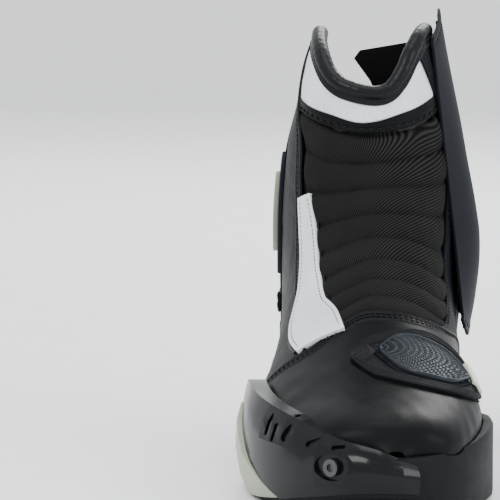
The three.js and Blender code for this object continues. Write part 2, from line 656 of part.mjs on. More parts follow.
function upperPanels() {
  const underHeelBand = heelEdge.map(([around, along]) => [around, along - 0.3]);
  const underBinding = { top: collarEdge, cutters: [collarGroove] };
  panel('vamp', 'leather', leatherLayer,
    { left: lastingOuter, right: lastingInner, bottom: toeStart, top: vampEdge, cell: 11.5 });
  panel('front_stretch_panel', 'stretch', leatherLayer,
    { left: outerFrontSeam, right: innerFrontSeam, bottom: vampEdge, top: collarStripEdge });
  panel('collar_strip', 'leather', leatherLayer,
    { left: outerFrontSeam, right: innerFrontSeam, bottom: collarStripEdge, top: collarPanelEdge, cell: 7 });
  panel('front_collar_panel', 'whiteLeather', leatherLayer,
    { left: outerFrontSeam, right: innerFrontSeam, bottom: collarPanelEdge, ...underBinding, cell: 9 });
  panel('inner_front_panel', 'flapLeather', leatherLayer,
    { left: innerFrontSeam, right: zipFrontSeam, bottom: vampEdge, ...underBinding });
  panel('inner_rear_quarter', 'flapLeather', leatherLayer,
    { left: zipRearSeam, right: innerHeelSeam, bottom: vampEdge, ...underBinding });
  panel('outer_front_quarter', 'grainLeather', leatherLayer,
    { left: outerRearSeam, right: outerFrontSeam, bottom: vampEdge, ...underBinding, cell: 12 });
  const behindOuter = outerHeelSeam.map(([along, around]) => [along, around - 360]);
  panel('outer_rear_quarter', 'grainLeather', leatherLayer,
    { left: behindOuter, right: outerRearSeam, bottom: vampEdge, ...underBinding });
  panel('rear_stretch_panel', 'stretch', leatherLayer,
    { left: innerHeelSeam, right: outerHeelSeam, bottom: heelEdge, ...underBinding, cell: 9 });
  panel('heel_shell', 'shellPlastic', [leatherLayer[0] + 0.3, leatherLayer[1]],
    { left: innerHeelSeam, right: outerHeelSeam, bottom: 61, top: underHeelBand, cell: 7.5 });
}

// ---- overlays

const trimPath = [[71, -43, 4.5], [66, -40, 6], [61, -38, 6.5], [56, -39, 7.5], [50, -39, 11], [45, -34, 13],
  [39, -29, 12]];
const badgePath = [[68, -90, 2], [71, -90, 8], [76, -90, 11], [81, -90, 9], [85, -90, 2]];
const badgeCentre = [[71, -90, 1.5], [74, -90, 5], [77, -90, 6], [80, -90, 4.5], [82, -90, 1.5]];
const padTop = [[-14, 35.5], [0, 37.5], [26, 40.5], [50, 40], [76, 38]];
const padBottom = [[-14, 27], [0, 22.5], [26, 20], [50, 22], [76, 27]];
const meshTop = [[0, 34], [10, 37], [26, 37], [42, 35.5], [58, 32]];
const meshBottom = [[0, 30.5], [10, 25.5], [26, 24], [42, 25], [58, 30]];
const heelBand = [[64, 88, 4.5], [68, 104, 5], [73, 122, 5], [76.2, 140, 5], [77, 160, 5], [77.2, 180, 5],
  [77.2, 200, 5],
  [76.6, 218, 5], [73.5, 238, 5], [68.5, 256, 5], [64.5, 270, 4.5]];

function overlays() {
  band('white_shin_trim', 'whiteLeather', overlayLayer, trimPath, { steps: 11, across: 2 });
  band('side_badge', 'bluePlastic', overlayLayer, badgePath, { steps: 9, across: 2 });
  band('badge_inlay', 'whiteLeather', plateLayer, badgeCentre, { steps: 6, across: 1 });
  panel('shift_pad', 'leather', overlayLayer, { left: -13, right: 75, bottom: padBottom, top: padTop });
  panel('shift_pad_mesh', 'bluePlastic', plateLayer,
    { left: 2, right: 56, bottom: meshBottom, top: meshTop, cell: 12 });
  band('shift_pad_bar', 'palePlastic', plateLayer, [[37, 61, 3], [30.5, 66, 3]], { steps: 4, across: 1 });
  band('heel_band', 'leather', overlayLayer, heelBand, { steps: 20, across: 1 });
  band('loop_tape', 'hook', [overlayLayer[0], overlayLayer[0] + loopThickness], [[74, 102, 6], [91, 102, 6]],
    { steps: 6, across: 1 });
}

// The moulded plates that stand on the heel shell, with their holes and dimples as round openings.
const innerPlateEdges = {
  left: 118,
  right: 163,
  bottom: [[118, 61.5], [140, 63.3], [163, 64.4]],
  top: [[118, 69], [134, 73], [163, 75]],
};
const outerPlateEdges = {
  left: 197,
  right: 258,
  bottom: [[197, 64.4], [222, 63.3], [240, 61.6], [258, 60.5]],
  top: [[197, 74.8], [220, 73.6], [240, 70.3], [258, 65.2]],
};
const centrePlateEdges = { left: 167, right: 193, bottom: 64.5, top: 72 };
const ventEdges = { left: 208, right: 236, bottom: 65.5, top: [[208, 72], [236, 69]] };

function holesAt(places, diameter) {
  return places.map(([along, around]) => {
    const out = outwards(along, around);
    const facing = new THREE.Quaternion().setFromUnitVectors(new THREE.Vector3(0, 1, 0), out);
    const centre = off(along, around, overlayLayer[1]);
    const hole = new THREE.CylinderGeometry(diameter / 2, diameter / 2, 12, 6);
    return hole.applyQuaternion(facing).translate(...centre);
  });
}

function heelParts() {
  const innerHoles = [[66, 128], [66, 144], [69.5, 128], [69.5, 144], [72.5, 138], [72.5, 153]];
  const outerHoles = [[65, 247], [66, 253]];
  const dimples = [65, 67.8, 70.4].flatMap((along) => [174, 180, 186].map((around) => [along, around]));
  const standing = overlayLayer.map((distance) => distance + 0.4);
  panel('heel_plate_inner', 'glossPlastic', standing,
    { ...innerPlateEdges, cell: 8, cutters: holesAt(innerHoles, plateHoleDiameter) });
  panel('heel_plate_centre', 'shellPlastic', overlayLayer,
    { ...centrePlateEdges, cell: 9, cutters: holesAt(dimples, plateHoleDiameter * 0.7) });
  panel('heel_plate_outer', 'glossPlastic', standing,
    { ...outerPlateEdges, cell: 8, cutters: holesAt(outerHoles, plateHoleDiameter) });
  panel('heel_vent', 'bluePlastic', plateLayer.map((distance) => distance + 0.3), { ...ventEdges, cell: 7 });
}

// ---- zip

const zipX = throughPoints([
  [zipEnd.z, zipEnd.x], [(zipEnd.z + zipBottom.z) / 2, zipBottom.x + 1.2],
  [zipBottom.z, zipBottom.x], [zipTop.z, zipTop.x],
]);
const zipLean = Math.atan2(zipBottom.x - zipTop.x, zipTop.z - zipBottom.z);
const straightX = (z) => THREE.MathUtils.mapLinear(z, zipBottom.z, zipTop.z, zipBottom.x, zipTop.x);
const zipLineX = (z) => (z >= zipBottom.z ? straightX(z) : zipX(z));
const tapeFace = 0.4;

// A strip that follows the zip's line, between two distances from it and two places along Y.
function zipStrip(near, far, fromY, toY) {
  const bent = [0, 7, 14, 21].map((rise) => zipEnd.z + (zipBottom.z - zipEnd.z) * rise / 22);
  const heights = [...bent, zipBottom.z, zipTop.z];
  const outline = [
    ...heights.map((z) => [zipLineX(z) + near, z]),
    ...heights.toReversed().map((z) => [zipLineX(z) + far, z]),
  ];
  return prism(outline, toY - fromY).rotateX(Math.PI / 2).translate(0, toY, 0);
}

function zipTeeth(side) {
  const beadFar = rowGap / 2 + 2;
  const [beadFrom, beadTo] = side > 0 ? [rowGap / 2 + 1, beadFar] : [-beadFar, -rowGap / 2 - 1];
  const bead = zipStrip(tapeFace, tapeFace + toothHeight, zipY + beadFrom, zipY + beadTo);
  const teeth = [];
  for (let z = zipEnd.z + 2; z < zipTop.z - 1; z += toothPitch) {
    const middle = zipY + side * (rowGap / 2 + 0.75);
    const face = zipLineX(z) + tapeFace + toothHeight / 2;
    teeth.push(box(toothHeight * 0.8, 1.5, toothPitch * 0.5, face, middle, z));
  }
  return join(bead, ...teeth);
}

function onZipLine(geometry, z) {
  return geometry.rotateY(-zipLean).translate(straightX(z), zipY, z);
}

const runnerRest = zipTop.z - runnerLength / 2 - 2;
const plateFace = tapeFace + toothHeight + runnerGap;
const pullFace = plateFace + runnerPlate + runnerGap;
const headFace = pullFace + pullThickness + runnerGap;
const headThickness = 0.7;

function zipParts() {
  const tapeFrom = rowGap / 2 + 2.3;
  const tape = (from) => zipStrip(tapeFace, tapeFace + tapeThickness, from, from + tapeWidth);
  add('zip_tape_front', tape(zipY - tapeFrom - tapeWidth), 'textile');
  add('zip_tape_rear', tape(zipY + tapeFrom), 'textile');
  add('zip_teeth_front', zipTeeth(-1), 'coil');
  add('zip_teeth_rear', zipTeeth(1), 'coil');
  const stopX = zipLineX(zipEnd.z) + tapeFace + 1;
  add('zip_bottom_stop', box(2, rowGap - 2 * runnerGap + 4.4, 2.4, stopX, zipY, zipEnd.z - 1.6), 'steel');
  const topStop = box(toothHeight, tapeFrom * 2 - 0.4, 1.6, tapeFace + toothHeight / 2, 0, 1.4);
  add('zip_top_stop', onZipLine(topStop, zipTop.z), 'steel');

  const lipWidth = 0.9;
  const lipFace = tapeFace + tapeThickness + runnerGap;
  const lipHeight = plateFace - lipFace + 0.1;
  const lip = (side) => box(lipHeight, lipWidth, runnerLength - 2,
    lipFace + lipHeight / 2, side * (runnerWidth - lipWidth) / 2, 0);
  const wedge = box(toothHeight, rowGap - 2 * runnerGap, 4,
    plateFace - toothHeight / 2 + 0.05, 0, runnerLength / 2 - 3);
  const [side, end] = [runnerWidth / 2, runnerLength / 2];
  const plateOutline = [[-side, 3], [-side + 2, -end], [side - 2, -end], [side, 3], [side - 1, end], [-side + 1, end]];
  const plate = prism(plateOutline, runnerPlate)
    .rotateX(Math.PI / 2).rotateZ(Math.PI / 2).translate(plateFace, 0, 0);
  const postHeight = headFace - plateFace;
  const disc = (radius, height) => new THREE.CylinderGeometry(radius, radius, height, 16).rotateZ(Math.PI / 2);
  const post = disc(postDiameter / 2, postHeight).translate(plateFace + postHeight / 2, 0, 2);
  const head = disc(postDiameter / 2 + 1, headThickness).translate(headFace + headThickness / 2 - 0.05, 0, 2);
  add('zip_slider', onZipLine(join(plate, lip(-1), lip(1), wedge, post, head), runnerRest), 'steel');

  const tab = new THREE.Shape();
  const half = pullWidth / 2;
  tab.moveTo(half, 0).lineTo(half, -pullLength + half).absarc(0, -pullLength + half, half, 0, -Math.PI, true);
  tab.lineTo(-half, 0).absarc(0, 0, half, Math.PI, 0, true);
  tab.holes.push(new THREE.Path().absarc(0, 0, postDiameter / 2 + runnerGap, 0, 2 * Math.PI, false));
  const pull = new THREE.ExtrudeGeometry(tab, { depth: pullThickness, bevelEnabled: false, curveSegments: 10 })
    .rotateX(Math.PI / 2).rotateZ(Math.PI / 2).translate(pullFace, 0, 2);
  add('zip_pull', onZipLine(pull, runnerRest), 'steel');
}

// The soft guard behind the zip, whose free corner stands into the collar opening.
function innerParts() {
  const wallX = (z) => off(...innerSideAt(zipY, z * scaleZ), liningFace - liningThickness - 0.5).x;
  const corner = [[-6, 199], [-9, 195], [-1, 184], [6, 168]].map(([x, z]) => [x * scaleX, z]);
  const outline = [
    [wallX(204) - 1, 204], ...corner, [wallX(150) - 9, 150],
    [wallX(142), 142], [wallX(160), 160], [wallX(180), 180],
  ];
  add('zip_gusset', prism(outline.map(([x, z]) => [x, z * scaleZ]), gussetThickness)
    .rotateX(Math.PI / 2).translate(0, zipY, 0), 'textile');
  const labelFace = liningFace - liningThickness - 0.5;
  panel('size_label', 'textile', [labelFace - 0.5, labelFace], { left: 122, right: 142, bottom: 87, top: 93, cell: 9 });
}

// ---- closure flap

const flapStandoff = headFace + headThickness + flapGap;
const hingeX = (end) => off(...innerSideAt(end.y, end.z), leatherLayer[1] + layerGap).x;
const hingeBulge = 2;
const flapFoot = new THREE.Vector3(hingeX(hingeFoot) + hingeBulge, hingeFoot.y, hingeFoot.z);
const flapHead = new THREE.Vector3(hingeX(hingeHead) + hingeBulge, hingeHead.y, hingeHead.z);
const flapFaceX = throughPoints([
  [62 * scaleZ, zipEnd.x + 2.5], [76 * scaleZ, zipEnd.x + 5], [95 * scaleZ, zipBottom.x + flapStandoff + 0.6],
  [zipBottom.z, zipBottom.x + flapStandoff], [zipTop.z, zipTop.x + flapStandoff],
  [222 * scaleZ, zipTop.x + flapStandoff - 3.6],
]);
const scaledBy = (keys, values, points) => throughPoints(points.map(([key, value]) => [key * keys, value * values]));
const freeEdgeY = scaledBy(scaleZ, scaleY, [[60, 2], [68, 14], [78, 22], [95, 28], [150, 30], [205, 27], [222, 22]]);
const flapFootZ = scaledBy(1, scaleZ, [[0, 64], [0.4, 59], [0.75, 61], [0.92, 66], [1, 74]]);
const flapHeadZ = scaledBy(1, scaleZ, [[0, 207], [0.35, 216], [0.6, 220], [0.85, 216], [1, 209]]);

function flapPlace(u, v, distance) {
  const z = THREE.MathUtils.lerp(flapFootZ(u), flapHeadZ(u), v);
  const share = (z - flapFoot.z) / (flapHead.z - flapFoot.z);
  const axis = flapFoot.clone().lerp(flapHead, share);
  const y = THREE.MathUtils.lerp(axis.y + 0.3, freeEdgeY(z), u);
  const t = THREE.MathUtils.clamp((y - axis.y) / (zipY - 6 - axis.y), 0, 1);
  const rise = Math.sin(t * Math.PI / 2);
  const inwards = 1.2 * (Math.max(0, y - zipY - 4) / 22) ** 2;
  return new THREE.Vector3(THREE.MathUtils.lerp(axis.x, flapFaceX(z), rise) - inwards + distance, y, z);
}

function flapSheet(from, to, foot, head, near, far, columns, rows) {
  const { lerp } = THREE.MathUtils;
  const count = (size) => Array.from({ length: size + 1 }, (_, i) => i / size);
  const column = (u, distance) => count(rows).map((v) => flapPlace(lerp(from, to, u), lerp(foot, head, v), distance));
  const lay = (distance) => count(columns).map((u) => column(u, distance));
  return sheetBetween(lay(near), lay(far));
}

function flapParts() {
  add('closure_flap', flapSheet(0, 1, 0, 1, 0, flapThickness, 8, 12), 'flapLeather');
  const stripShare = tapeStripWidth / (freeEdgeY(150 * scaleZ) - flapFoot.y);
  add('flap_hook_tape', flapSheet(0.97 - stripShare, 0.97, 0.2, 0.97, -1.6, -0.45, 2, 12), 'hook');
}

// ---- build

lining();
insides();
outsole();
screwParts();
toeParts();
upperPanels();
overlays();
heelParts();
zipParts();
innerParts();
flapParts();

export default boot;
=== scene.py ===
# A short motorcycle sport boot for the right foot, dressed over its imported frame.
# Sizes are in millimetres until a mesh is made; the scene itself is in metres.
import json
import math
import bpy
import bmesh
import numpy as np
from mathutils import Matrix, Vector
from mathutils.bvhtree import BVHTree


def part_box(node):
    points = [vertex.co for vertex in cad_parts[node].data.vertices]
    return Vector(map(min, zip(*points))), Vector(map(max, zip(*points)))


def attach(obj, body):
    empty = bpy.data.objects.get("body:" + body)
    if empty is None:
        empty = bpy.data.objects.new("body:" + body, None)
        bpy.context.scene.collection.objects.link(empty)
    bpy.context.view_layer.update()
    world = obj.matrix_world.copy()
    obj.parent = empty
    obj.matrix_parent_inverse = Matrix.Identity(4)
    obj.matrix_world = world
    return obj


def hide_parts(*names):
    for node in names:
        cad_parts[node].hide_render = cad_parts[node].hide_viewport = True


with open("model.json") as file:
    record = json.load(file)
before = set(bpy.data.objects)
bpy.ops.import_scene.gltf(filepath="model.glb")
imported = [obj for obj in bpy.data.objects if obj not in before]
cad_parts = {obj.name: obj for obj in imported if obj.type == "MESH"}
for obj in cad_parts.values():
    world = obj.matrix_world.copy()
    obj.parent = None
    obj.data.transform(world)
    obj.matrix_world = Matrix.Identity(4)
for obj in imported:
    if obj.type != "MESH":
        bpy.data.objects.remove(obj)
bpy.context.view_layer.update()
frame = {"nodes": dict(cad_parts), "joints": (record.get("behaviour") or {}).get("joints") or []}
nodes = frame["nodes"]
mm = 0.001

# ---- camera and light, first

camera = {"height": 305, "distance": 1985, "lens": 287.5, "down": 5.915, "aside": 1.75}


def studio():
    eye = bpy.data.objects.new("camera", bpy.data.cameras.new("camera"))
    bpy.context.scene.collection.objects.link(eye)
    eye.data.lens = camera["lens"]
    eye.data.sensor_width = 36
    eye.data.clip_end = 30
    eye.location = (0, -camera["distance"] * mm, camera["height"] * mm)
    eye.rotation_euler = (math.radians(90 - camera["down"]), 0, math.radians(camera["aside"]))
    bpy.context.scene.camera = eye
    world = bpy.data.worlds.new("studio")
    bpy.context.scene.world = world
    world.use_nodes = True
    world.node_tree.nodes["Background"].inputs["Color"].default_value = (0.97, 0.985, 1, 1)
    world.node_tree.nodes["Background"].inputs["Strength"].default_value = 1.3
    lamps = [
        # name, place, aimed at, width, height, watts
        ("key", (-1.0, -1.4, 1.5), (0, -0.05, 0.1), 0.9, 0.7, 24),
        ("fill", (1.5, -1.1, 0.9), (0, -0.05, 0.1), 0.7, 0.9, 17),
        ("rear", (0.3, 1.6, 1.2), (0, 0.05, 0.12), 1.0, 0.6, 22),
        ("top", (0, -0.1, 1.9), (0, -0.05, 0.1), 1.0, 0.8, 11),
    ]
    for name, place, target, width, height, watts in lamps:
        light = bpy.data.lights.new(name, "AREA")
        light.shape = "RECTANGLE"
        light.size = width
        light.size_y = height
        light.energy = watts
        lamp = bpy.data.objects.new(name, light)
        bpy.context.scene.collection.objects.link(lamp)
        lamp.location = place
        lamp.rotation_euler = (Vector(target) - Vector(place)).to_track_quat("-Z", "Y").to_euler()
    print("camera and lights placed")


studio()

# ---- shader maths


class Wire:
    # one socket; arithmetic on it adds Math nodes
    def __init__(self, tree, socket):
        self.tree = tree
        self.socket = socket

    def math(self, operation, other=0.0, swap=False):
        node = self.tree.nodes.new("ShaderNodeMath")
        node.operation = operation
        for index, value in enumerate((other, self) if swap else (self, other)):
            if isinstance(value, Wire):
                self.tree.links.new(value.socket, node.inputs[index])
            else:
                node.inputs[index].default_value = value
        return Wire(self.tree, node.outputs[0])

    def __add__(self, other): return self.math("ADD", other)
    def __radd__(self, other): return self.math("ADD", other, True)
    def __sub__(self, other): return self.math("SUBTRACT", other)
    def __rsub__(self, other): return self.math("SUBTRACT", other, True)
    def __mul__(self, other): return self.math("MULTIPLY", other)
    def __rmul__(self, other): return self.math("MULTIPLY", other, True)
    def sine(self): return self.math("SINE")


class Finish:
    # a material, its nodes and its principled shader
    def __init__(self, name, roughness=0.5, **fixed):
        self.material = bpy.data.materials.new(name)
        self.material.use_nodes = True
        self.tree = self.material.node_tree
        self.shader = self.tree.nodes["Principled BSDF"]
        self.shader.inputs["Roughness"].default_value = roughness
        for socket, value in fixed.items():
            self.shader.inputs[socket.replace("_", " ")].default_value = value

    def node(self, kind, settings=None, values=None, out=0):
        node = self.tree.nodes.new("ShaderNode" + kind)
        for key, value in (settings or {}).items():
            if key == "stops":
                ramp = node.color_ramp
                while len(ramp.elements) < len(value):
                    ramp.elements.new(0.5)
                for element, (place, shade) in zip(ramp.elements, value):
                    element.position = place
                    element.color = (*shade, 1) if isinstance(shade, tuple) else (shade, shade, shade, 1)
            else:
                setattr(node, key, value)
        for key, value in (values or {}).items():
            socket = node.inputs[key]
            if isinstance(value, Wire):
                self.tree.links.new(value.socket, socket)
            else:
                socket.default_value = value
        return Wire(self.tree, node.outputs[out])

    def place(self):
        return self.node("TexCoord", out="Object")

    def cloth(self):
        return self.node("UVMap", {"uv_map": "flat"})

    def noise(self, scale, detail=3, rough=0.55, where=None):
        values = {"Vector": where or self.place(), "Scale": scale, "Detail": detail, "Roughness": rough}
        return self.node("TexNoise", None, values)

    def pebbles(self, scale, where=None, smooth=0.4):
        values = {"Vector": where or self.place(), "Scale": scale, "Smoothness": smooth}
        return self.node("TexVoronoi", {"feature": "SMOOTH_F1"}, values)

    def ramp(self, amount, *stops):
        return self.node("ValToRGB", {"stops": stops}, {"Fac": amount})

    def mixed(self, amount, one, two):
        values = {0: amount}
        values[6] = one if isinstance(one, Wire) else (*one, 1)
        values[7] = two if isinstance(two, Wire) else (*two, 1)
        return self.node("Mix", {"data_type": "RGBA"}, values, out=2)

    def bump(self, height, depth, strength=1.0):
        return self.node("Bump", None, {"Height": height, "Distance": depth, "Strength": strength})

    def feed(self, **sockets):
        for name, wire in sockets.items():
            self.tree.links.new(wire.socket, self.shader.inputs[name.replace("_", " ")])
        return self.material


def shade(r, g, b):
    # a display colour, 0 to 255, as linear light
    return tuple((v / 255 / 12.92) if v < 11 else ((v / 255 + 0.055) / 1.055) ** 2.4 for v in (r, g, b))


def leather(name, dark, light, grain, depth, roughness, coat=0.0, crease=0.4):
    finish = Finish(name, roughness, Coat_Weight=coat, Coat_Roughness=0.25, Specular_IOR_Level=0.08)
    clouds = finish.noise(26, 4, 0.6)
    pores = finish.pebbles(grain)
    fine = finish.noise(grain * 2.2, 3, 0.6)
    folds = finish.noise(95, 5, 0.65)
    colour = finish.mixed(finish.ramp(clouds, (0.32, 0.0), (0.7, 1.0)), dark, light)
    # painted shade: the colour is darkened towards a deeper black in the valleys between the pebbles, where
    # the bump sinks the grain
    valleyShadedColour = finish.mixed(finish.ramp(pores, (0.25, 0.0), (0.85, 0.5)), colour, tuple(v * 0.55 for v in dark))
    rough = finish.ramp(clouds * 0.5 + fine * 0.5, (0.3, roughness - 0.07), (0.7, min(roughness + 0.1, 1)))
    height = pores * -0.8 + fine * 0.35 + folds * crease
    return finish.feed(Base_Color=valleyShadedColour, Roughness=rough, Normal=finish.bump(height, depth))


def twill(name, dark, light, pitch, depth):
    finish = Finish(name, 0.8, Specular_IOR_Level=0.1)
    where = finish.cloth()
    across = finish.node("SeparateXYZ", None, {"Vector": where})
    up = finish.node("SeparateXYZ", None, {"Vector": where}, out=1)
    turn = 2 * math.pi / pitch
    ribs = ((across * 0.75 - up * 0.66) * turn).sine() * 0.5 + 0.5
    threads = ((across * 0.66 + up * 0.75) * (turn * 1.3)).sine() * 0.5 + 0.5
    weave = ribs * 0.75 + ribs * threads * 0.25
    fuzz = finish.noise(2600, 2, 0.7)
    clouds = finish.noise(32, 4, 0.6)
    tone = finish.ramp(weave * 0.7 + clouds * 0.3, (0.25, dark), (0.85, light))
    height = weave + fuzz * 0.45
    rough = finish.ramp(fuzz, (0.3, 0.7), (0.7, 0.92))
    return finish.feed(Base_Color=tone, Roughness=rough, Normal=finish.bump(height, depth))


def woven(name, dark, light, pitch, depth):
    finish = Finish(name, 0.9, Specular_IOR_Level=0.1)
    where = finish.place()
    turn = 2 * math.pi / pitch
    lines = [(finish.node("SeparateXYZ", None, {"Vector": where}, out=i) * turn).sine() for i in range(3)]
    knots = lines[0] * lines[2] * 0.25 + lines[1] * lines[2] * 0.25 + 0.5
    fuzz = finish.noise(1800, 3, 0.7)
    colour = finish.ramp(knots * 0.6 + fuzz * 0.4, (0.3, dark), (0.75, light))
    rough = finish.ramp(fuzz, (0.3, 0.82), (0.7, 1.0))
    return finish.feed(Base_Color=colour, Roughness=rough, Normal=finish.bump(knots + fuzz * 0.6, depth))


def moulded(name, dark, light, roughness, grain=1400, depth=0.00008, coat=0.0, metallic=0.0, marks=0.1):
    finish = Finish(name, roughness, Coat_Weight=coat, Coat_Roughness=0.06, Metallic=metallic,
                    Specular_IOR_Level=0.12)
    speckle = finish.noise(grain, 3, 0.6)
    clouds = finish.noise(38, 5, 0.65)
    colour = finish.mixed(finish.ramp(clouds * 0.7 + speckle * 0.3, (0.35, 0.0), (0.68, 1.0)), dark, light)
    low = max(roughness - marks * 0.5, 0.03)
    rough = finish.ramp(clouds * 0.6 + speckle * 0.4, (0.35, low), (0.7, min(roughness + marks, 1)))
    return finish.feed(Base_Color=colour, Roughness=rough, Normal=finish.bump(speckle, depth, 0.6))


def brushed(name, tone, roughness):
    finish = Finish(name, roughness, Metallic=1.0)
    where = finish.node("Mapping", None, {"Vector": finish.place(), "Scale": (1, 1, 0.05)})
    lines = finish.noise(3800, 3, 0.6, where)
    stains = finish.noise(300, 3)
    colour = finish.mixed(finish.ramp(lines * 0.6 + stains * 0.4, (0.35, 0.0), (0.7, 1.0)),
                          tuple(v * 0.6 for v in tone), tone)
    rough = finish.ramp(lines, (0.3, roughness - 0.08), (0.7, roughness + 0.14))
    return finish.feed(Base_Color=colour, Roughness=rough, Normal=finish.bump(lines, 0.00003))


finishes = {
    "leather": leather("black leather", shade(6, 7, 8), shade(11, 12, 14), 1500, 0.00009, 0.44, 0.02, 0.25),
    "grain": leather("pebbled leather", shade(16, 18, 20), shade(36, 40, 43), 780, 0.00022, 0.5, 0.03, 0.5),
    "flap": leather("blue-grey leather", shade(17, 20, 25), shade(25, 29, 35), 1500, 0.00006, 0.56, 0.0, 0.3),
    "binding": leather("padded binding leather", shade(11, 13, 15), shade(19, 22, 25), 1200, 0.00008,
                       0.38, 0.12, 0.5),
    "piping": leather("piping leather", shade(8, 9, 11), shade(14, 16, 19), 1400, 0.00006, 0.4, 0.1, 0.4),
    "white": leather("white leather", shade(214, 219, 223), shade(240, 243, 246), 1700, 0.00004, 0.42,
                     0.1, 0.2),
    "twill": twill("black twill", 0.0012, 0.022, 0.00115, 0.00022),
    "textile": woven("lining cloth", 0.0018, 0.007, 0.0009, 0.00012),
    "label": woven("label cloth", 0.003, 0.03, 0.0006, 0.00008),
    "tape": woven("zip tape", 0.003, 0.014, 0.0008, 0.00010),
    "hook": woven("hook tape", 0.001, 0.012, 0.0007, 0.0003),
    "foam": woven("foam", 0.02, 0.05, 0.0013, 0.00020),
    "board": moulded("fibre board", shade(120, 105, 84), shade(150, 133, 108), 0.85, 900, 0.00012),
    "steel": brushed("brushed steel", (0.62, 0.64, 0.66), 0.3),
    "blackSteel": brushed("blackened steel", (0.10, 0.105, 0.11), 0.36),
    "rubber": moulded("sole rubber", shade(9, 11, 14), shade(15, 18, 22), 0.6, 1100, 0.00009, marks=0.16),
    "pale": moulded("pale side plastic", shade(138, 145, 127), shade(162, 168, 149), 0.42, 900, 0.00003, 0.1),
    "ridge": moulded("pale ridge plastic", shade(200, 200, 180), shade(222, 222, 203), 0.35, 900,
                     0.00003, 0.2),
    "shell": moulded("heel shell plastic", shade(9, 11, 13), shade(16, 18, 21), 0.5, 1500, 0.00006,
                     marks=0.12),
    "gloss": moulded("gloss black plastic", shade(8, 9, 11), shade(15, 17, 20), 0.22, 500, 0.00001,
                     0.12, marks=0.06),
    "blue": moulded("blue-grey plastic", shade(26, 31, 36), shade(40, 47, 53), 0.42, 1300, 0.00005, 0.1),
    "coil": moulded("zip coil plastic", shade(14, 15, 17), shade(30, 32, 35), 0.4, 1500, 0.00003),
    "thread": moulded("thread", shade(8, 8, 9), shade(26, 27, 29), 0.5, 2500, 0.0001),
    "paleThread": moulded("pale thread", shade(70, 76, 80), shade(120, 127, 131), 0.55, 2500, 0.0001),
    "floor": moulded("studio floor", (0.90, 0.905, 0.91), (0.93, 0.935, 0.94), 0.8, 60, 0.0001),
}
print("finishes made")

# ---- the surface that every panel lies on


class Line:
    # a smooth line through points: one number or several at each place
    def __init__(self, points):
        self.at = np.array([point[0] for point in points], float)
        self.value = np.array([point[1] if len(point) == 2 else point[1:] for point in points], float)

    def __call__(self, x):
        x = np.asarray(x, float)
        last = len(self.at) - 1
        i = np.searchsorted(self.at[1:-1], x)
        before, after = np.maximum(i - 1, 0), np.minimum(i + 2, last)
        step = self.at[i + 1] - self.at[i]
        t = (x - self.at[i]) / step
        wide = (lambda a: a[..., None]) if self.value.ndim > 1 else (lambda a: a)
        v0, v1, v2, v3 = (self.value[k] for k in (before, i, i + 1, after))
        slopeIn = (v2 - v0) / wide(self.at[i + 1] - self.at[before])
        slopeOut = (v3 - v1) / wide(self.at[after] - self.at[i])
        s, h = wide(t), wide(step)
        bend = h * (slopeIn * (s ** 3 - 2 * s * s + s) + slopeOut * (s ** 3 - s * s))
        curve = v1 * (2 * s ** 3 - 3 * s * s + 1) + v2 * (3 * s * s - 2 * s ** 3) + bend
        return np.where(wide((t < 0) | (t > 1)), v1 + (v2 - v1) * s, curve)


# Sections from the toe (0) to the collar (110): front y and z, back y and z, outer and inner half
# width, middle, how far up the widest point lies, and the roundness outside, inside and below.
sections = Line([
    [0, -217, 33, -215, 27, 9, 9, 10, 0.5, 2, 2, 2],
    [4, -212, 41, -207, 21, 26, 25, 8, 0.45, 2.1, 2.2, 2.4],
    [10, -197, 46, -190, 18, 38, 36, 5, 0.38, 2, 2.4, 2.8],
    [20, -170, 51, -160, 17, 48, 44, 3, 0.34, 1.9, 2.5, 3.2],
    [30, -140, 60, -125, 17, 52, 47, 1, 0.33, 1.8, 2.5, 3.4],
    [40, -112, 71, -88, 17, 50, 44, 0, 0.33, 1.75, 2.4, 3.4],
    [48, -90, 82, -48, 18, 45, 40, -1, 0.36, 1.8, 2.2, 3.4],
    [55, -71, 96, -5, 19, 42, 39, 0, 0.42, 2, 2.2, 3.4],
    [61, -57, 112, 46, 19.5, 41, 39, 0, 0.45, 2.2, 2.2, 3.4],
    [66, -50, 126, 67.5, 33, 41, 41, 0, 0.5, 2.2, 2.2, 2.9],
    [70, -46, 137, 68, 52, 41, 42, 0, 0.5, 2.2, 2.2, 2.6],
    [75, -44, 149, 68, 76, 41, 42, 0, 0.5, 2.2, 2.2, 2.4],
    [80, -43, 161, 64, 100, 40, 40.5, 0, 0.5, 2.1, 2.1, 2.2],
    [86, -43, 174, 62, 126, 38, 37.5, 0, 0.5, 2.1, 2.1, 2.1],
    [92, -44, 187, 63, 150, 34, 34.5, 0, 0.5, 2.1, 2.1, 2.1],
    [100, -46, 204, 66, 178, 29, 30.5, 0, 0.5, 2.1, 2.1, 2.1],
    [110, -48, 224, 69, 206, 22, 24, 0, 0.5, 2.1, 2.1, 2.1],
])
# The lining's packed box, against its size at these sections, gives the scale along each axis.
liningSize = (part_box("lining")[1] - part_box("lining")[0]) / mm
liningMade = Vector((98.9, 286.9, 192.0))
scale = np.array([round(size / made, 2) for size, made in zip(liningSize, liningMade)])
toeStart = -1.6

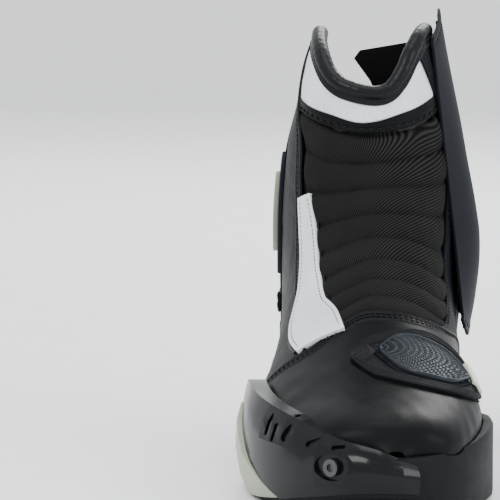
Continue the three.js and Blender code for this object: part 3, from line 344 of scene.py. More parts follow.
outerFrontSeam = Line([[38, -38], [46, -45], [56, -48], [66, -47], [76, -48], [84, -53], [92, -68],
                       [102, -88]])
outerRearSeam = Line([[54, -118], [60, -104], [68, -90], [80, -88], [90, -94], [100, -104], [108, -112]])
innerFrontSeam = Line([[44, 38], [50, 54], [56, 56], [64, 52], [73, 52], [79, 56], [85, 56], [91, 52],
                       [96, 44],
                       [102, 30]])
innerHeelSeam = Line([[56, 143], [61, 130], [66, 119], [72, 119], [76, 128], [79, 141], [84, 144], [91, 139],
                      [100, 139]])
outerHeelSeam = Line([[56, 217], [61, 230], [66, 241], [72, 241], [76, 239], [80, 235], [86, 236], [91, 240],
                      [98, 233]])
collarEdge = Line([
    [-112, 107], [-98, 105], [-82, 106], [-66, 103], [-52, 99.5], [-34, 94], [-20, 91], [0, 89], [12, 90],
    [22, 93.5], [34, 99], [50, 103.5], [70, 106], [92, 106.5], [116, 106.5], [130, 104], [138, 99], [150, 95],
    [164, 92.3], [180, 91], [202, 91.2], [220, 93], [234, 97], [248, 101.5], [262, 105], [276, 106],
])
vampEdge = Line([[-125, 44], [-112, 43], [-90, 39.5], [-60, 37.5], [-36, 38], [-20, 41.5], [-6, 44.5],
                 [12, 45],
                 [32, 45.5], [54, 49], [84, 55], [113, 56], [150, 56]])
collarPanelEdge = Line([[-90, 96], [-64, 91], [-28, 85], [-4, 82], [22, 85], [48, 90], [60, 93]])
collarStripEdge = Line([[-90, 93], [-56, 88], [-20, 81.5], [0, 80], [22, 82], [50, 87.5], [60, 90]])
heelEdge = Line([[100, 68], [118, 72], [134, 76], [148, 77.6], [180, 78.2], [202, 78], [220, 77], [238, 74.5],
                 [262, 68]])
lastingInner = Line([[-2, 114], [44, 114], [50, 122], [56, 140], [58, 143]])


def skin(along, around):
    row = np.moveaxis(sections(along), -1, 0)
    frontY, frontZ, backY, backZ, outer, inner, middle, waist, roundOuter, roundInner, roundLower = row
    angle = np.radians(around)
    c, s = np.cos(angle), np.sin(angle)
    power = 2 / np.where(c < 0, roundLower, np.where(s < 0, roundOuter, roundInner))
    sideways = np.sign(s) * np.abs(s) ** power
    upwards = np.sign(c) * np.abs(c) ** power
    height = waist + np.where(upwards > 0, 1 - waist, waist) * upwards
    x = middle + np.where(sideways > 0, inner, outer) * sideways
    y = backY + (frontY - backY) * height
    z = backZ + (frontZ - backZ) * height
    return np.stack([x, y, z], -1) * scale


def unit(vectors):
    return vectors / np.maximum(np.linalg.norm(vectors, axis=-1, keepdims=True), 1e-9)


def outwards(along, around):
    up = skin(along + 0.4, around) - skin(along - 0.4, around)
    across = skin(along, around + 1.5) - skin(along, around - 1.5)
    return unit(np.cross(across, up))


def off(along, around, distance):
    return skin(along, around) + outwards(along, around) * np.asarray(distance)[..., None]


def walk(along, around, move):
    # steps along the surface by a vector
    up = skin(along + 0.5, around) - skin(along - 0.5, around)
    across = skin(along, around + 0.5) - skin(along, around - 0.5)
    dot = lambda a, b: (a * b).sum(-1)
    uu, aa, ua = dot(up, up), dot(across, across), dot(up, across)
    mu, ma = dot(move, up), dot(move, across)
    det = uu * aa - ua * ua
    return along + (mu * aa - ma * ua) / det, around + (ma * uu - mu * ua) / det


def innerSideAt(y, z):
    y, z = np.broadcast_arrays(np.asarray(y, float), np.asarray(z, float))
    along, around = np.full(y.shape, 75.0), np.full(y.shape, 85.0)
    for _ in range(40):
        miss = (np.stack([y * 0, y, z], -1) - skin(along, around)) * [0, 0.5, 0.5]
        along, around = walk(along, around, miss)
        along, around = np.clip(along, 50, 112), np.clip(around, 25, 130)
    return along, around


zip_ = {"y": 5.0, "top": (28.5, 203.0), "bottom": (45.2, 115.0), "end": (45.2, 93.0), "channel": 12.0}


def channelSeam(y):
    heights = np.array([84, 105, 130, 150, 170, 190, 208.0])
    along, around = innerSideAt(y * scale[1], heights * scale[2])
    return Line([[54, 91], [59, 90]] + [[a, b] for a, b in zip(along, around)])


zipFrontSeam = channelSeam(zip_["y"] - zip_["channel"] / 2)
zipRearSeam = channelSeam(zip_["y"] + zip_["channel"] / 2)

leatherFace = (2.4, 3.8)  # how far a panel's two faces stand off the surface, as packed


class Patch:
    # a fine grid of places, with each one's distance in millimetres from the patch's four sides
    def __init__(self, along, around):
        self.alongs, self.arounds = along, around
        flat = skin(along, around)
        step = np.linalg.norm(np.diff(flat, axis=0), axis=-1)
        rise = np.linalg.norm(np.diff(flat, axis=1), axis=-1)
        self.left = np.concatenate([step[:1] * 0, np.cumsum(step, 0)])
        self.right = self.left[-1:] - self.left
        self.bottom = np.concatenate([rise[:, :1] * 0, np.cumsum(rise, 1)], 1)
        self.top = self.bottom[:, -1:] - self.bottom
        self.flat = flat

    def edge(self, *sides):
        sides = sides or ("left", "right", "bottom", "top")
        return np.minimum.reduce([getattr(self, side) for side in sides])

    def line(self, side, distance, start=0.0, end=1.0):
        # places at a distance from one side, from a share of that side to another
        gap = getattr(self, side)
        alongs, arounds = self.alongs, self.arounds
        if side in ("left", "right"):
            gap, alongs, arounds = gap.T, alongs.T, arounds.T
        if side in ("right", "top"):
            gap, alongs, arounds = gap[:, ::-1], alongs[:, ::-1], arounds[:, ::-1]
        rows = range(int(start * (len(gap) - 1)), int(end * (len(gap) - 1)) + 1)
        reach = [r for r in rows if gap[r][-1] > distance]
        return (np.array([np.interp(distance, gap[r], alongs[r]) for r in reach]),
                np.array([np.interp(distance, gap[r], arounds[r]) for r in reach]))


def level(edge):
    return edge if callable(edge) else (lambda x: np.zeros(np.shape(x)) + edge)


def panelPatch(left, right, bottom, top, cell=1.0, inset=(0.35, 0.35, 0.35, 0.35)):
    leftAt, rightAt, bottomAt, topAt = (level(edge) for edge in (left, right, bottom, top))

    def places(u, v):
        along = 0.5 * (bottomAt(leftAt(60.0)) + topAt(rightAt(60.0))) + u * 0
        around = 0.5 * (leftAt(along) + rightAt(along))
        for _ in range(80):
            around = around + 0.35 * (leftAt(along) + (rightAt(along) - leftAt(along)) * u - around)
            along = along + 0.35 * (bottomAt(around) + (topAt(around) - bottomAt(around)) * v - along)
        return along, around

    coarse = np.linspace(0, 1, 9)
    points = skin(*places(*np.meshgrid(coarse, coarse, indexing="ij")))
    across = np.linalg.norm(np.diff(points, axis=0), axis=-1).sum(0).max()
    upwards = np.linalg.norm(np.diff(points, axis=1), axis=-1).sum(1).max()
    u = np.linspace(inset[0] / across, 1 - inset[1] / across, max(3, int(across / cell)))
    v = np.linspace(inset[2] / upwards, 1 - inset[3] / upwards, max(3, int(upwards / cell)))
    return Patch(*places(*np.meshgrid(u, v, indexing="ij")))


def bandPatch(path, cell=0.8):
    # path: along, around and half width
    route = Line([[i / (len(path) - 1), *point] for i, point in enumerate(path)])
    coarse = route(np.linspace(0, 1, 60))
    length = np.linalg.norm(np.diff(skin(coarse[:, 0], coarse[:, 1]), axis=0), axis=-1).sum()
    t = np.linspace(0, 1, max(4, int(length / cell)))
    along, around, half = route(t).T
    ahead, behind = route(t + 0.01), route(t - 0.01)
    heading = skin(ahead[:, 0], ahead[:, 1]) - skin(behind[:, 0], behind[:, 1])
    side = unit(np.cross(unit(heading), outwards(along, around)))
    j = np.linspace(-1, 1, max(4, int(2 * half.max() / cell)))
    move = side[:, None, :] * (-half[:, None] * j[None, :])[..., None]
    return Patch(*walk(along[:, None] + j * 0, around[:, None] + j * 0, move))


def smooth(x, low, high):
    t = np.clip((x - low) / (high - low), 0, 1)
    return t * t * (3 - 2 * t)


def groove(distance, at, half):
    return -np.exp(-((distance - at) / half) ** 2)


def ripple(flat, size, seed):
    # slow, smooth unevenness that is the same on every run
    rng = np.random.default_rng(seed)
    total = np.zeros(flat.shape[:-1])
    for _ in range(9):
        wave = rng.normal(size=3) / size
        total += np.sin(flat @ wave * 2 * math.pi + rng.uniform(0, 6.28))
    return total / 9


# ---- pieces


def finished(name, mesh, node=None, finish="leather", body="boot", smoothAngle=35):
    piece = bpy.data.objects.new(name, mesh)
    bpy.context.scene.collection.objects.link(piece)
    mesh.materials.clear()
    mesh.materials.append(finishes[finish])
    mesh.shade_smooth()
    if smoothAngle:
        mesh.set_sharp_from_angle(angle=math.radians(smoothAngle))
    if node:
        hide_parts(*([node] if isinstance(node, str) else node))
    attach(piece, body)
    return piece


def sheetMesh(name, points, outward, flat=None):
    # a grid of points as one sheet, faces towards outward, with its own flat map in metres
    columns, rows = points.shape[:2]
    bm = bmesh.new()
    uv = bm.loops.layers.uv.new("flat")
    bmesh.ops.create_grid(bm, x_segments=columns - 1, y_segments=rows - 1, size=1)
    for vert in bm.verts:
        column, row = round((vert.co.x + 1) / 2 * (columns - 1)), round((vert.co.y + 1) / 2 * (rows - 1))
        vert.index = column * rows + row
    places = points.reshape(-1, 3) * mm
    map_ = flat.reshape(-1, 2) * mm if flat is not None else None
    if map_ is not None:
        for face in bm.faces:
            for loop in face.loops:
                loop[uv].uv = map_[loop.vert.index]
    middle = (columns // 2) * rows + rows // 2
    bm.verts.sort(key=lambda vert: vert.index)
    mesh = bpy.data.meshes.new(name)
    bm.to_mesh(mesh)
    bm.free()
    mesh.vertices.foreach_set("co", places.ravel())
    mesh.update()
    normal = Vector(np.cross(points[columns // 2 + 1, rows // 2] - points[columns // 2, rows // 2],
                             points[columns // 2, rows // 2 + 1] - points[columns // 2, rows // 2]))
    if normal.dot(Vector(outward.reshape(-1, 3)[middle])) < 0:
        mesh.flip_normals()
    return mesh


def solid(piece, thickness, rounding=0.35, segments=2):
    wall = piece.modifiers.new("wall", "SOLIDIFY")
    wall.thickness = thickness * mm
    wall.offset = -1
    if rounding:
        edge = piece.modifiers.new("edge", "BEVEL")
        edge.width = rounding * mm
        edge.segments = segments
        edge.limit_method = "ANGLE"
        edge.angle_limit = math.radians(50)
        edge.harden_normals = False
    return piece


def panelPiece(name, patch, node, finish, face=leatherFace, relief=0, rounding=0.35, body="boot"):
    height = face[1] + relief
    points = skin(patch.alongs, patch.arounds)
    outward = outwards(patch.alongs, patch.arounds)
    points = points + outward * (np.zeros(patch.left.shape) + height)[..., None]
    flat = np.stack([(patch.left - patch.right) / 2, patch.bottom], -1)
    piece = finished(name, sheetMesh(name, points, outward, flat), node, finish, body, 0)
    return solid(piece, face[1] - face[0], rounding)


def capsules(name, places, ways, outs, length, width, height, finish, body="boot"):
    # small rounded threads, each at a place, along a way, standing out
    bm = bmesh.new()
    for place, way, out in zip(places, ways, outs):
        side = np.cross(out, way)
        turn = Matrix([[*(np.array([way, side, out])[:, i])] for i in range(3)]).to_4x4()
        size = Matrix.Diagonal((length / 2 * mm, width / 2 * mm, height / 2 * mm, 1))
        spot = Matrix.Translation(Vector(place * mm))
        bmesh.ops.create_uvsphere(bm, u_segments=6, v_segments=5, radius=1, matrix=spot @ turn @ size)
    mesh = bpy.data.meshes.new(name)
    bm.to_mesh(mesh)
    bm.free()
    return finished(name, mesh, None, finish, body, 0)


def evenly(points, pitch):
    # places along a line of points, a pitch apart
    steps = np.linalg.norm(np.diff(points, axis=0), axis=-1)
    length = np.concatenate([[0], np.cumsum(steps)])
    at = np.arange(pitch / 2, length[-1], pitch)
    return at, length


def sewn(name, lines, distance, pitch=2.9, width=0.8, height=0.7, finish="thread", share=0.78):
    places, ways, outs = [], [], []
    for along, around in lines:
        points = skin(along, around)
        at, length = evenly(points, pitch)
        a, b = np.interp(at, length, along), np.interp(at, length, around)
        ahead = np.interp(at + 0.6, length, along), np.interp(at + 0.6, length, around)
        behind = np.interp(at - 0.6, length, along), np.interp(at - 0.6, length, around)
        out = outwards(a, b)
        way = unit(skin(*ahead) - skin(*behind))
        way = unit(way - out * (way * out).sum(-1, keepdims=True))
        places.append(off(a, b, np.zeros(a.shape) + distance))
        ways.append(way)
        outs.append(out)
    rows = (np.concatenate(parts) for parts in (places, ways, outs))
    return capsules(name, *rows, pitch * share, width, height, finish)


def cordMesh(name, points, radius, sides=10, closed=False):
    # a round cord through points in millimetres; radius may change along it
    radii = np.zeros(len(points)) + radius
    curve = bpy.data.curves.new(name, "CURVE")
    curve.dimensions = "3D"
    curve.bevel_depth = mm
    curve.bevel_resolution = max(1, sides // 4)
    curve.use_fill_caps = True
    spline = curve.splines.new("POLY")
    spline.points.add(len(points) - 1)
    for spot, place, size in zip(spline.points, points, radii):
        spot.co = (*(place * mm), 1)
        spot.radius = size
    spline.use_cyclic_u = closed
    made = bpy.data.objects.new(name, curve)
    bpy.context.scene.collection.objects.link(made)
    mesh = bpy.data.meshes.new_from_object(made.evaluated_get(bpy.context.evaluated_depsgraph_get()))
    bpy.data.objects.remove(made)
    mesh.name = name
    return mesh


def cordAlong(name, line, distance, radius, finish, node=None, sides=10):
    points = off(line[0], line[1], np.zeros(line[0].shape) + distance)
    return finished(name, cordMesh(name, points, radius, sides), node, finish, smoothAngle=0)

# ---- lining, collar and footbed

collar = {"from": 100, "to": 432, "rollRadius": 4.0, "rollOffset": 1.2, "lipWidth": 1.5}


def collarAt(around):
    around = np.asarray(around) % 360
    return collarEdge(np.where(around > 270, around - 360, around))


def wholeLining():
    around = np.linspace(90, 450, 180)[:, None]
    share = np.linspace(0, 1, 180)[None, :]
    along = toeStart + (collarAt(around) - 0.2 - toeStart) * share
    patch = Patch(along, around + share * 0)
    seams = groove(patch.top, 24, 1.1) * 0.9 + groove(patch.top, 9, 0.8) * 0.4
    soft = ripple(patch.flat, 42, 3) * 0.5 * smooth(patch.top, 4, 30)
    points = skin(patch.alongs, patch.arounds)
    outward = outwards(patch.alongs, patch.arounds)
    inner = points - outward * (2.4 + seams + soft)[..., None]
    flat = np.stack([patch.left, patch.bottom], -1)
    mesh = sheetMesh("lining_cloth", inner, -outward, flat)
    solid(finished("lining_cloth", mesh, "lining", "textile", "boot", 0), 2.0, 0)


def collarRoll():
    around = np.linspace(collar["from"], collar["to"], 420)
    along = collarAt(around)
    points = off(along, around, np.zeros(around.shape) + collar["rollOffset"])
    steps = np.linalg.norm(np.diff(points, axis=0), axis=1)
    travel = np.concatenate([[0], np.cumsum(steps)])
    ends = smooth(np.minimum(travel, travel[-1] - travel), 0, 5)
    puckers = 0.04 * np.sin(travel * 1.35) + ripple(points, 17, 8) * 0.15
    radius = collar["rollRadius"] * (0.35 + 0.65 * np.sqrt(ends)) + puckers
    mesh = cordMesh("collar_roll", points, radius, 28)
    finished("collar_roll", mesh, "collar_binding", "binding", smoothAngle=0)
    # the binding's flat lip on the panels, with its stitch row
    lip = np.linspace(collar["from"] + 3, collar["to"] - 4, 160)
    below = collarAt(lip) - 1.8
    patch = bandPatch([[a, b, collar["lipWidth"]] for a, b in zip(below, lip)], 0.7)
    ridge = 0.25 * np.exp(-((np.minimum(patch.bottom, patch.top) - 0.5) / 0.5) ** 2)
    panelPiece("collar_lip", patch, None, "binding", (3.6, 4.5), ridge, 0.2)
    sewn("collar_stitches", [(below - 0.3, lip)], 4.55, 2.7, 0.7, 0.6)
    # a thin light seam where the lip meets the panels
    cordAlong("collar_seam", (below - 0.75, lip), 4.15, 0.18, "paleThread")


def footbedPiece():
    patch = panelPatch(148, 212, 12, 56, 1.6, (0.3, 0.3, 0.3, 0.3))
    points = skin(patch.alongs, patch.arounds)
    outward = outwards(patch.alongs, patch.arounds)
    dish = 0.6 * smooth(patch.edge(), 0, 12)
    inner = points - outward * (3.4 - dish + 3)[..., None]
    flat = np.stack([patch.left, patch.bottom], -1)
    mesh = sheetMesh("footbed_cover", inner, -outward, flat)
    solid(finished("footbed_cover", mesh, "footbed", "textile", "boot", 0), 2.6, 0.5)


wholeLining()
collarRoll()
footbedPiece()
print("lining and collar done")

# ---- leather and stretch panels

lastingOuter = Line([[at, -value] for at, value in zip(lastingInner.at, lastingInner.value)])
tucked = 3.5


def belowCollar(around):
    return collarAt(around) - 0.8



def sunk(patch, sides, depth=1.2, width=3.5):
    # the part of a panel that dives under its neighbours
    return sum(-depth * (1 - smooth(getattr(patch, side), width * 0.5, width * 1.6)) for side in sides)


def vampPiece():
    patch = panelPatch(lastingOuter, lastingInner, toeStart, vampEdge, 1.15)
    # the stitched top edge stands a little proud, with a groove along each stitch row
    edge = 0.45 * (1 - smooth(patch.top, 6.2, 8.2))
    rows = (groove(patch.top, 2.3, 0.8) + groove(patch.top, 4.9, 0.8)) * 0.4
    creases = ripple(patch.flat, 24, 21) * 0.35 * smooth(patch.top, 8, 30)
    panelPiece("vamp_leather", patch, "vamp", "leather", leatherFace, edge + rows + creases, 0.45)
    lines = [patch.line("top", 2.3, 0.06, 0.93), patch.line("top", 4.9, 0.06, 0.93)]
    sewn("vamp_stitches", lines, 4.28, 2.5, 0.85, 0.75)
    cordAlong("vamp_edge_piping", patch.line("top", 0.2, 0.06, 0.93), 3.9, 0.55, "piping")


def frontStretch():
    patch = panelPatch(outerFrontSeam, innerFrontSeam, vampEdge, collarStripEdge, 0.85, (-tucked,) * 4)
    share = (patch.bottom - tucked) / (patch.bottom + patch.top - 2 * tucked)
    channels = np.abs(np.sin(math.pi * np.clip(share, 0, 1) * 8))
    puff = 3.0 * channels ** 0.45 * smooth(patch.edge("left", "right"), 2, 9)
    puff += 0.35 * ripple(patch.flat, 15, 5) - 1.6
    relief = puff + sunk(patch, ("left", "right", "bottom", "top"), 1.3)
    panelPiece("front_stretch_twill", patch, "front_stretch_panel", "twill", leatherFace, relief, 0)
    # one stitched line along each channel's seam
    rows = []
    for i in range(1, 8):
        rise = tucked + (patch.bottom + patch.top - 2 * tucked) * i / 8
        columns = range(6, len(rise) - 6)
        nearest = [int(np.argmin(np.abs(patch.bottom[c] - rise[c]))) for c in columns]
        rows.append((patch.alongs[columns, nearest], patch.arounds[columns, nearest]))
    sewn("front_stretch_stitches", rows, 2.35, 2.2, 0.5, 0.5)


def rearStretch():
    inset = (-tucked, -tucked, -tucked, 0)
    patch = panelPatch(innerHeelSeam, outerHeelSeam, heelEdge, belowCollar, 0.85, inset)
    share = (patch.bottom - tucked) / (patch.bottom + patch.top - tucked)
    channels = np.abs(np.sin(math.pi * np.clip(share * 4, 0, 4)))
    puff = 2.5 * channels ** 0.45 * smooth(patch.edge("left", "right"), 2, 9)
    puff += 0.3 * ripple(patch.flat, 17, 6) - 1.2
    relief = puff + sunk(patch, ("left", "right", "bottom"), 1.3)
    panelPiece("rear_stretch_twill", patch, "rear_stretch_panel", "twill", leatherFace, relief, 0)


def collarPanels():
    seams = (outerFrontSeam, innerFrontSeam)
    strip = panelPatch(*seams, collarStripEdge, collarPanelEdge, 0.7, (-tucked, -tucked, 0.2, -1.5))
    relief = 0.5 * smooth(strip.bottom, 0, 1) + groove(strip.bottom, 2.1, 0.8) * 0.5
    relief = relief + sunk(strip, ("left", "right"), 1.0)
    panelPiece("collar_strip_leather", strip, "collar_strip", "leather", leatherFace, relief, 0.4)
    line = strip.line("bottom", 2.1, 0.03, 0.97)
    sewn("collar_strip_stitches", [line], 4.2, 3.9, 1.05, 0.9, share=0.62)
    white = panelPatch(*seams, collarPanelEdge, belowCollar, 0.9, (-tucked, -tucked, -1, 0))
    soft = 0.25 * ripple(white.flat, 30, 9) + sunk(white, ("left", "right"), 1.1)
    soft += sunk(white, ("bottom",), 0.7, 1.2)
    panelPiece("front_collar_leather", white, "front_collar_panel", "white", leatherFace, soft, 0.3)


behindOuter = Line([[at, value - 360] for at, value in zip(outerHeelSeam.at, outerHeelSeam.value)])
quarters = {
    "inner_front": {
        "node": "inner_front_panel", "finish": "flap", "seams": (innerFrontSeam, zipFrontSeam), "cell": 0.9,
        "inset": (0, 0.35, -tucked, 0), "folded": ("left",), "fold": (0.55, 5.4),
        "rows": {"left": (2.0, 4.4)},
        "soft": (0.2, 24, 12), "stitches": (4.2, 2.7), "span": {"left": (0.05, 0.97)},
        "zipRow": ("zip_front_stitches", "right", 8.0)},
    "inner_rear": {
        "node": "inner_rear_quarter", "finish": "flap", "seams": (zipRearSeam, innerHeelSeam), "cell": 0.9,
        "inset": (0.35, 0, -tucked, 0), "folded": ("right",), "fold": (0.45, 5.0),
        "rows": {"right": (1.9, 4.2)},
        "soft": (0.3, 34, 13), "stitches": (4.15, 2.7), "span": {"right": (0.1, 0.93)},
        "zipRow": ("zip_rear_stitches", "left", 2.2)},
    "outer_front": {
        "node": "outer_front_quarter", "finish": "grain", "seams": (outerRearSeam, outerFrontSeam),
        "cell": 0.95,
        "inset": (-2, 0, -tucked, 0), "folded": ("right",), "fold": (0.5, 5.4), "rows": {"right": (2.0, 4.4)},
        "soft": (0.3, 28, 14), "stitches": (4.2, 2.6), "span": {"right": (0.03, 0.97)},
        "piping": (0.1, 4.1, 1.0)},
    "outer_rear": {
        "node": "outer_rear_quarter", "finish": "grain", "seams": (behindOuter, outerRearSeam), "cell": 0.95,
        "inset": (0, 0, -tucked, 0), "folded": ("left", "right"), "fold": (0.45, 5.0),
        "rows": {"left": (1.9, 4.2), "right": (2,)}, "soft": (0.25, 28, 15), "stitches": (4.15, 2.6),
        "span": {"left": (0.1, 0.95), "right": (0.05, 0.97)}, "piping": (-0.2, 4.0, 0.9)},
}


def quarter(name, node, finish, seams, cell, inset, folded, fold, rows, soft, stitches, span,
            piping=None, zipRow=None):
    # a leather panel whose sewn edges are folded double, with a groove under each row of stitches
    patch = panelPatch(*seams, vampEdge, belowCollar, cell, inset)
    height, width = fold
    relief = height * (1 - smooth(patch.edge(*folded), width, width + 1.6))
    relief += 0.4 * sum(groove(getattr(patch, side), at, 0.7) for side in rows for at in rows[side])
    relief += sunk(patch, ("bottom",), 1.2) + soft[0] * ripple(patch.flat, *soft[1:])
    if inset[0] < 0:
        relief += sunk(patch, ("left",), 0.9, -inset[0])
    panelPiece(name + "_leather", patch, node, finish, leatherFace, relief, 0.5)
    lines = [patch.line(side, at, *span[side]) for side in rows for at in rows[side]]
    sewn(name + "_stitches", lines, *stitches, 0.75, 0.65)
    if piping:
        line = patch.line("right", piping[0], 0.02, 0.985)
        cordAlong(name + "_piping", line, *piping[1:], "piping")
    if zipRow:
        sewn(zipRow[0], [patch.line(*zipRow[1:], 0.2, 0.96)], 3.85, 2.7, 0.7, 0.6)


vampPiece()
frontStretch()
rearStretch()
collarPanels()
for name, values in quarters.items():
    quarter(name, **values)
print("panels done")

# ---- trims and plates

overlayWall = (3.5, 5.9)  # an overlay reaches down into the leather it is sewn to
plateWall = (5.4, 8.2)
heelWall = (4.0, 6.3)


def trims():
    path = [[71, -43, 4.5], [66, -40, 6], [61, -38, 6.5], [56, -39, 7.5], [50, -39, 11], [45, -34, 13],
            [39, -29, 12]]
    trim = bandPatch(path, 0.6)
    relief = groove(trim.edge("bottom", "top"), 1.9, 0.45) * 0.5 + 0.25 * smooth(trim.edge(), 0, 1.5)
    panelPiece("white_shin_leather", trim, "white_shin_trim", "white", overlayWall, relief, 0.5)
    for side in ("bottom", "top"):
        sewn("white_shin_stitches_" + side, [trim.line(side, 1.9, 0.03, 0.97)], 5.75, 2.4, 0.55, 0.5)
    edge = bandPatch([[a, b, half + 1.1] for a, b, half in path], 0.8)
    cordAlong("white_shin_piping", edge.line("bottom", 0.3, 0.02, 0.98), 4.3, 0.95, "piping")
    cordAlong("white_shin_piping_inner", edge.line("top", 0.3, 0.02, 0.98), 4.2, 0.6, "piping")


def badge():
    path = [[68, -90, 2], [71, -90, 8], [76, -90, 11], [81, -90, 9], [85, -90, 2]]
    base = bandPatch(path, 0.5)
    edge = base.edge("bottom", "top")
    relief = 0.4 * smooth(edge, 0, 1) + groove(edge, 2.2, 0.5) * 0.7 + groove(edge, 3.9, 0.5) * 0.4
    panelPiece("side_badge_plastic", base, "side_badge", "blue", overlayWall, relief, 0.4)
    inlay = bandPatch([[71, -90, 1.5], [74, -90, 5], [77, -90, 6], [80, -90, 4.5], [82, -90, 1.5]], 0.5)
    crown = 0.3 * smooth(inlay.edge(), 0, 1)
    panelPiece("badge_pale_inlay", inlay, "badge_inlay", "pale", plateWall, crown, 0.5)


def heelBand():
    band = bandPatch([[64, 88, 4.5], [68, 104, 5], [73, 122, 5], [76.2, 140, 5], [77, 160, 5], [77.2, 180, 5],
                      [77.2, 200, 5], [76.6, 218, 5], [73.5, 238, 5], [68.5, 256, 5], [64.5, 270, 4.5]], 0.6)
    low, high = band.bottom, band.top
    span = (low + high)
    two = np.abs(np.sin(2 * math.pi * np.clip(low / span, 0, 1))) ** 0.6 * 0.9
    panelPiece("heel_band_leather", band, "heel_band", "leather", overlayWall, two - 0.4, 0.4)
    line = band.line("bottom", 5.0, 0.02, 0.98)
    sewn("heel_band_stitches", [line], 5.75, 2.4, 0.7, 0.6)
    loop = bandPatch([[74, 102, 6], [91, 102, 6]], 0.8)
    panelPiece("loop_tape_cloth", loop, "loop_tape", "textile", (4.1, 5.2), 0, 0.2)
    lines = [loop.line(side, 1.3, 0.03, 0.97) for side in ("bottom", "top")]
    sewn("loop_tape_stitches", lines, 5.3, 2.2, 0.6, 0.5)


def oval(bottom, top, side, left, right, power=5):
    # the end of a pad narrows to a round end between its two edge lines
    def at(around):
        across = np.clip(np.abs(around - (left + right) / 2) / ((right - left) / 2), 0, 1)
        keep = np.maximum(1 - across ** power, 0.03) ** 0.5
        low, high = bottom(around), top(around)
        return (low + high) / 2 + side * (high - low) / 2 * keep
    return at


def pressedSlots(patch, pitch, size, depth, lean=0.0, margin=1.2):
    # rows of small pressed openings, staggered
    a, b = patch.left + patch.bottom * lean, patch.bottom
    row = np.floor(b / pitch[1])
    across = np.abs((a / pitch[0] + 0.5 * (row % 2)) % 1 - 0.5) * pitch[0]
    upwards = np.abs(b / pitch[1] % 1 - 0.5) * pitch[1]
    inside = (1 - smooth(across, size[0] / 2 - 0.15, size[0] / 2 + 0.15))
    inside = inside * (1 - smooth(upwards, size[1] / 2 - 0.15, size[1] / 2 + 0.15))
    return -depth * inside * smooth(patch.edge(), margin, margin + 0.4)


def pressedHoles(patch, places, radius, depth):
    # round openings at places along and around
    total = np.zeros(patch.left.shape)
    for along, around in places:
        far = np.linalg.norm(patch.flat - skin(np.array(along, float), np.array(around, float)), axis=-1)
        total = np.minimum(total, -depth * (1 - smooth(far, radius - 0.2, radius + 0.2)))
    return total


def shiftPad():
    low = Line([[-14, 27], [0, 22.5], [26, 20], [50, 22], [76, 27]])
    high = Line([[-14, 35.5], [0, 37.5], [26, 40.5], [50, 40], [76, 38]])
    edges = [oval(low, high, side, -13, 75) for side in (-1, 1)]
    pad = panelPatch(-13, 75, edges[0], edges[1], 0.5, (0.2,) * 4)
    gap = np.minimum(pad.edge("bottom", "top"), pad.edge("left", "right") * 0.8)
    relief = sum(0.55 * np.exp(-((gap - at) / 0.75) ** 2) for at in (1.7, 4.2, 6.7))
    relief = relief - 0.9 * smooth(gap, 7.6, 8.6) - 0.5
    panelPiece("shift_pad_rubber", pad, "shift_pad", "rubber", overlayWall, relief, 0.5)
    low = Line([[0, 30.5], [10, 25.5], [26, 24], [42, 25], [58, 30]])
    high = Line([[0, 34], [10, 37], [26, 37], [42, 35.5], [58, 32]])
    edges = [oval(low, high, side, 2, 56) for side in (-1, 1)]
    mesh = panelPatch(2, 56, edges[0], edges[1], 0.32, (0.2,) * 4)
    relief = pressedSlots(mesh, (2.6, 2.0), (1.7, 1.1), 1.7, 0.5) - 2.1
    relief = relief + 0.7 * (1 - smooth(mesh.edge(), 0.6, 1.4))
    panelPiece("shift_pad_grille", mesh, "shift_pad_mesh", "blue", (4.5, 8.2), relief, 0)
    bar = bandPatch([[37, 61, 3], [30.5, 66, 3]], 0.5)
    crown = 0.3 * smooth(bar.edge(), 0, 1.4)
    panelPiece("shift_pad_pale_bar", bar, "shift_pad_bar", "ridge", (4.5, 7.0), crown, 0.9)


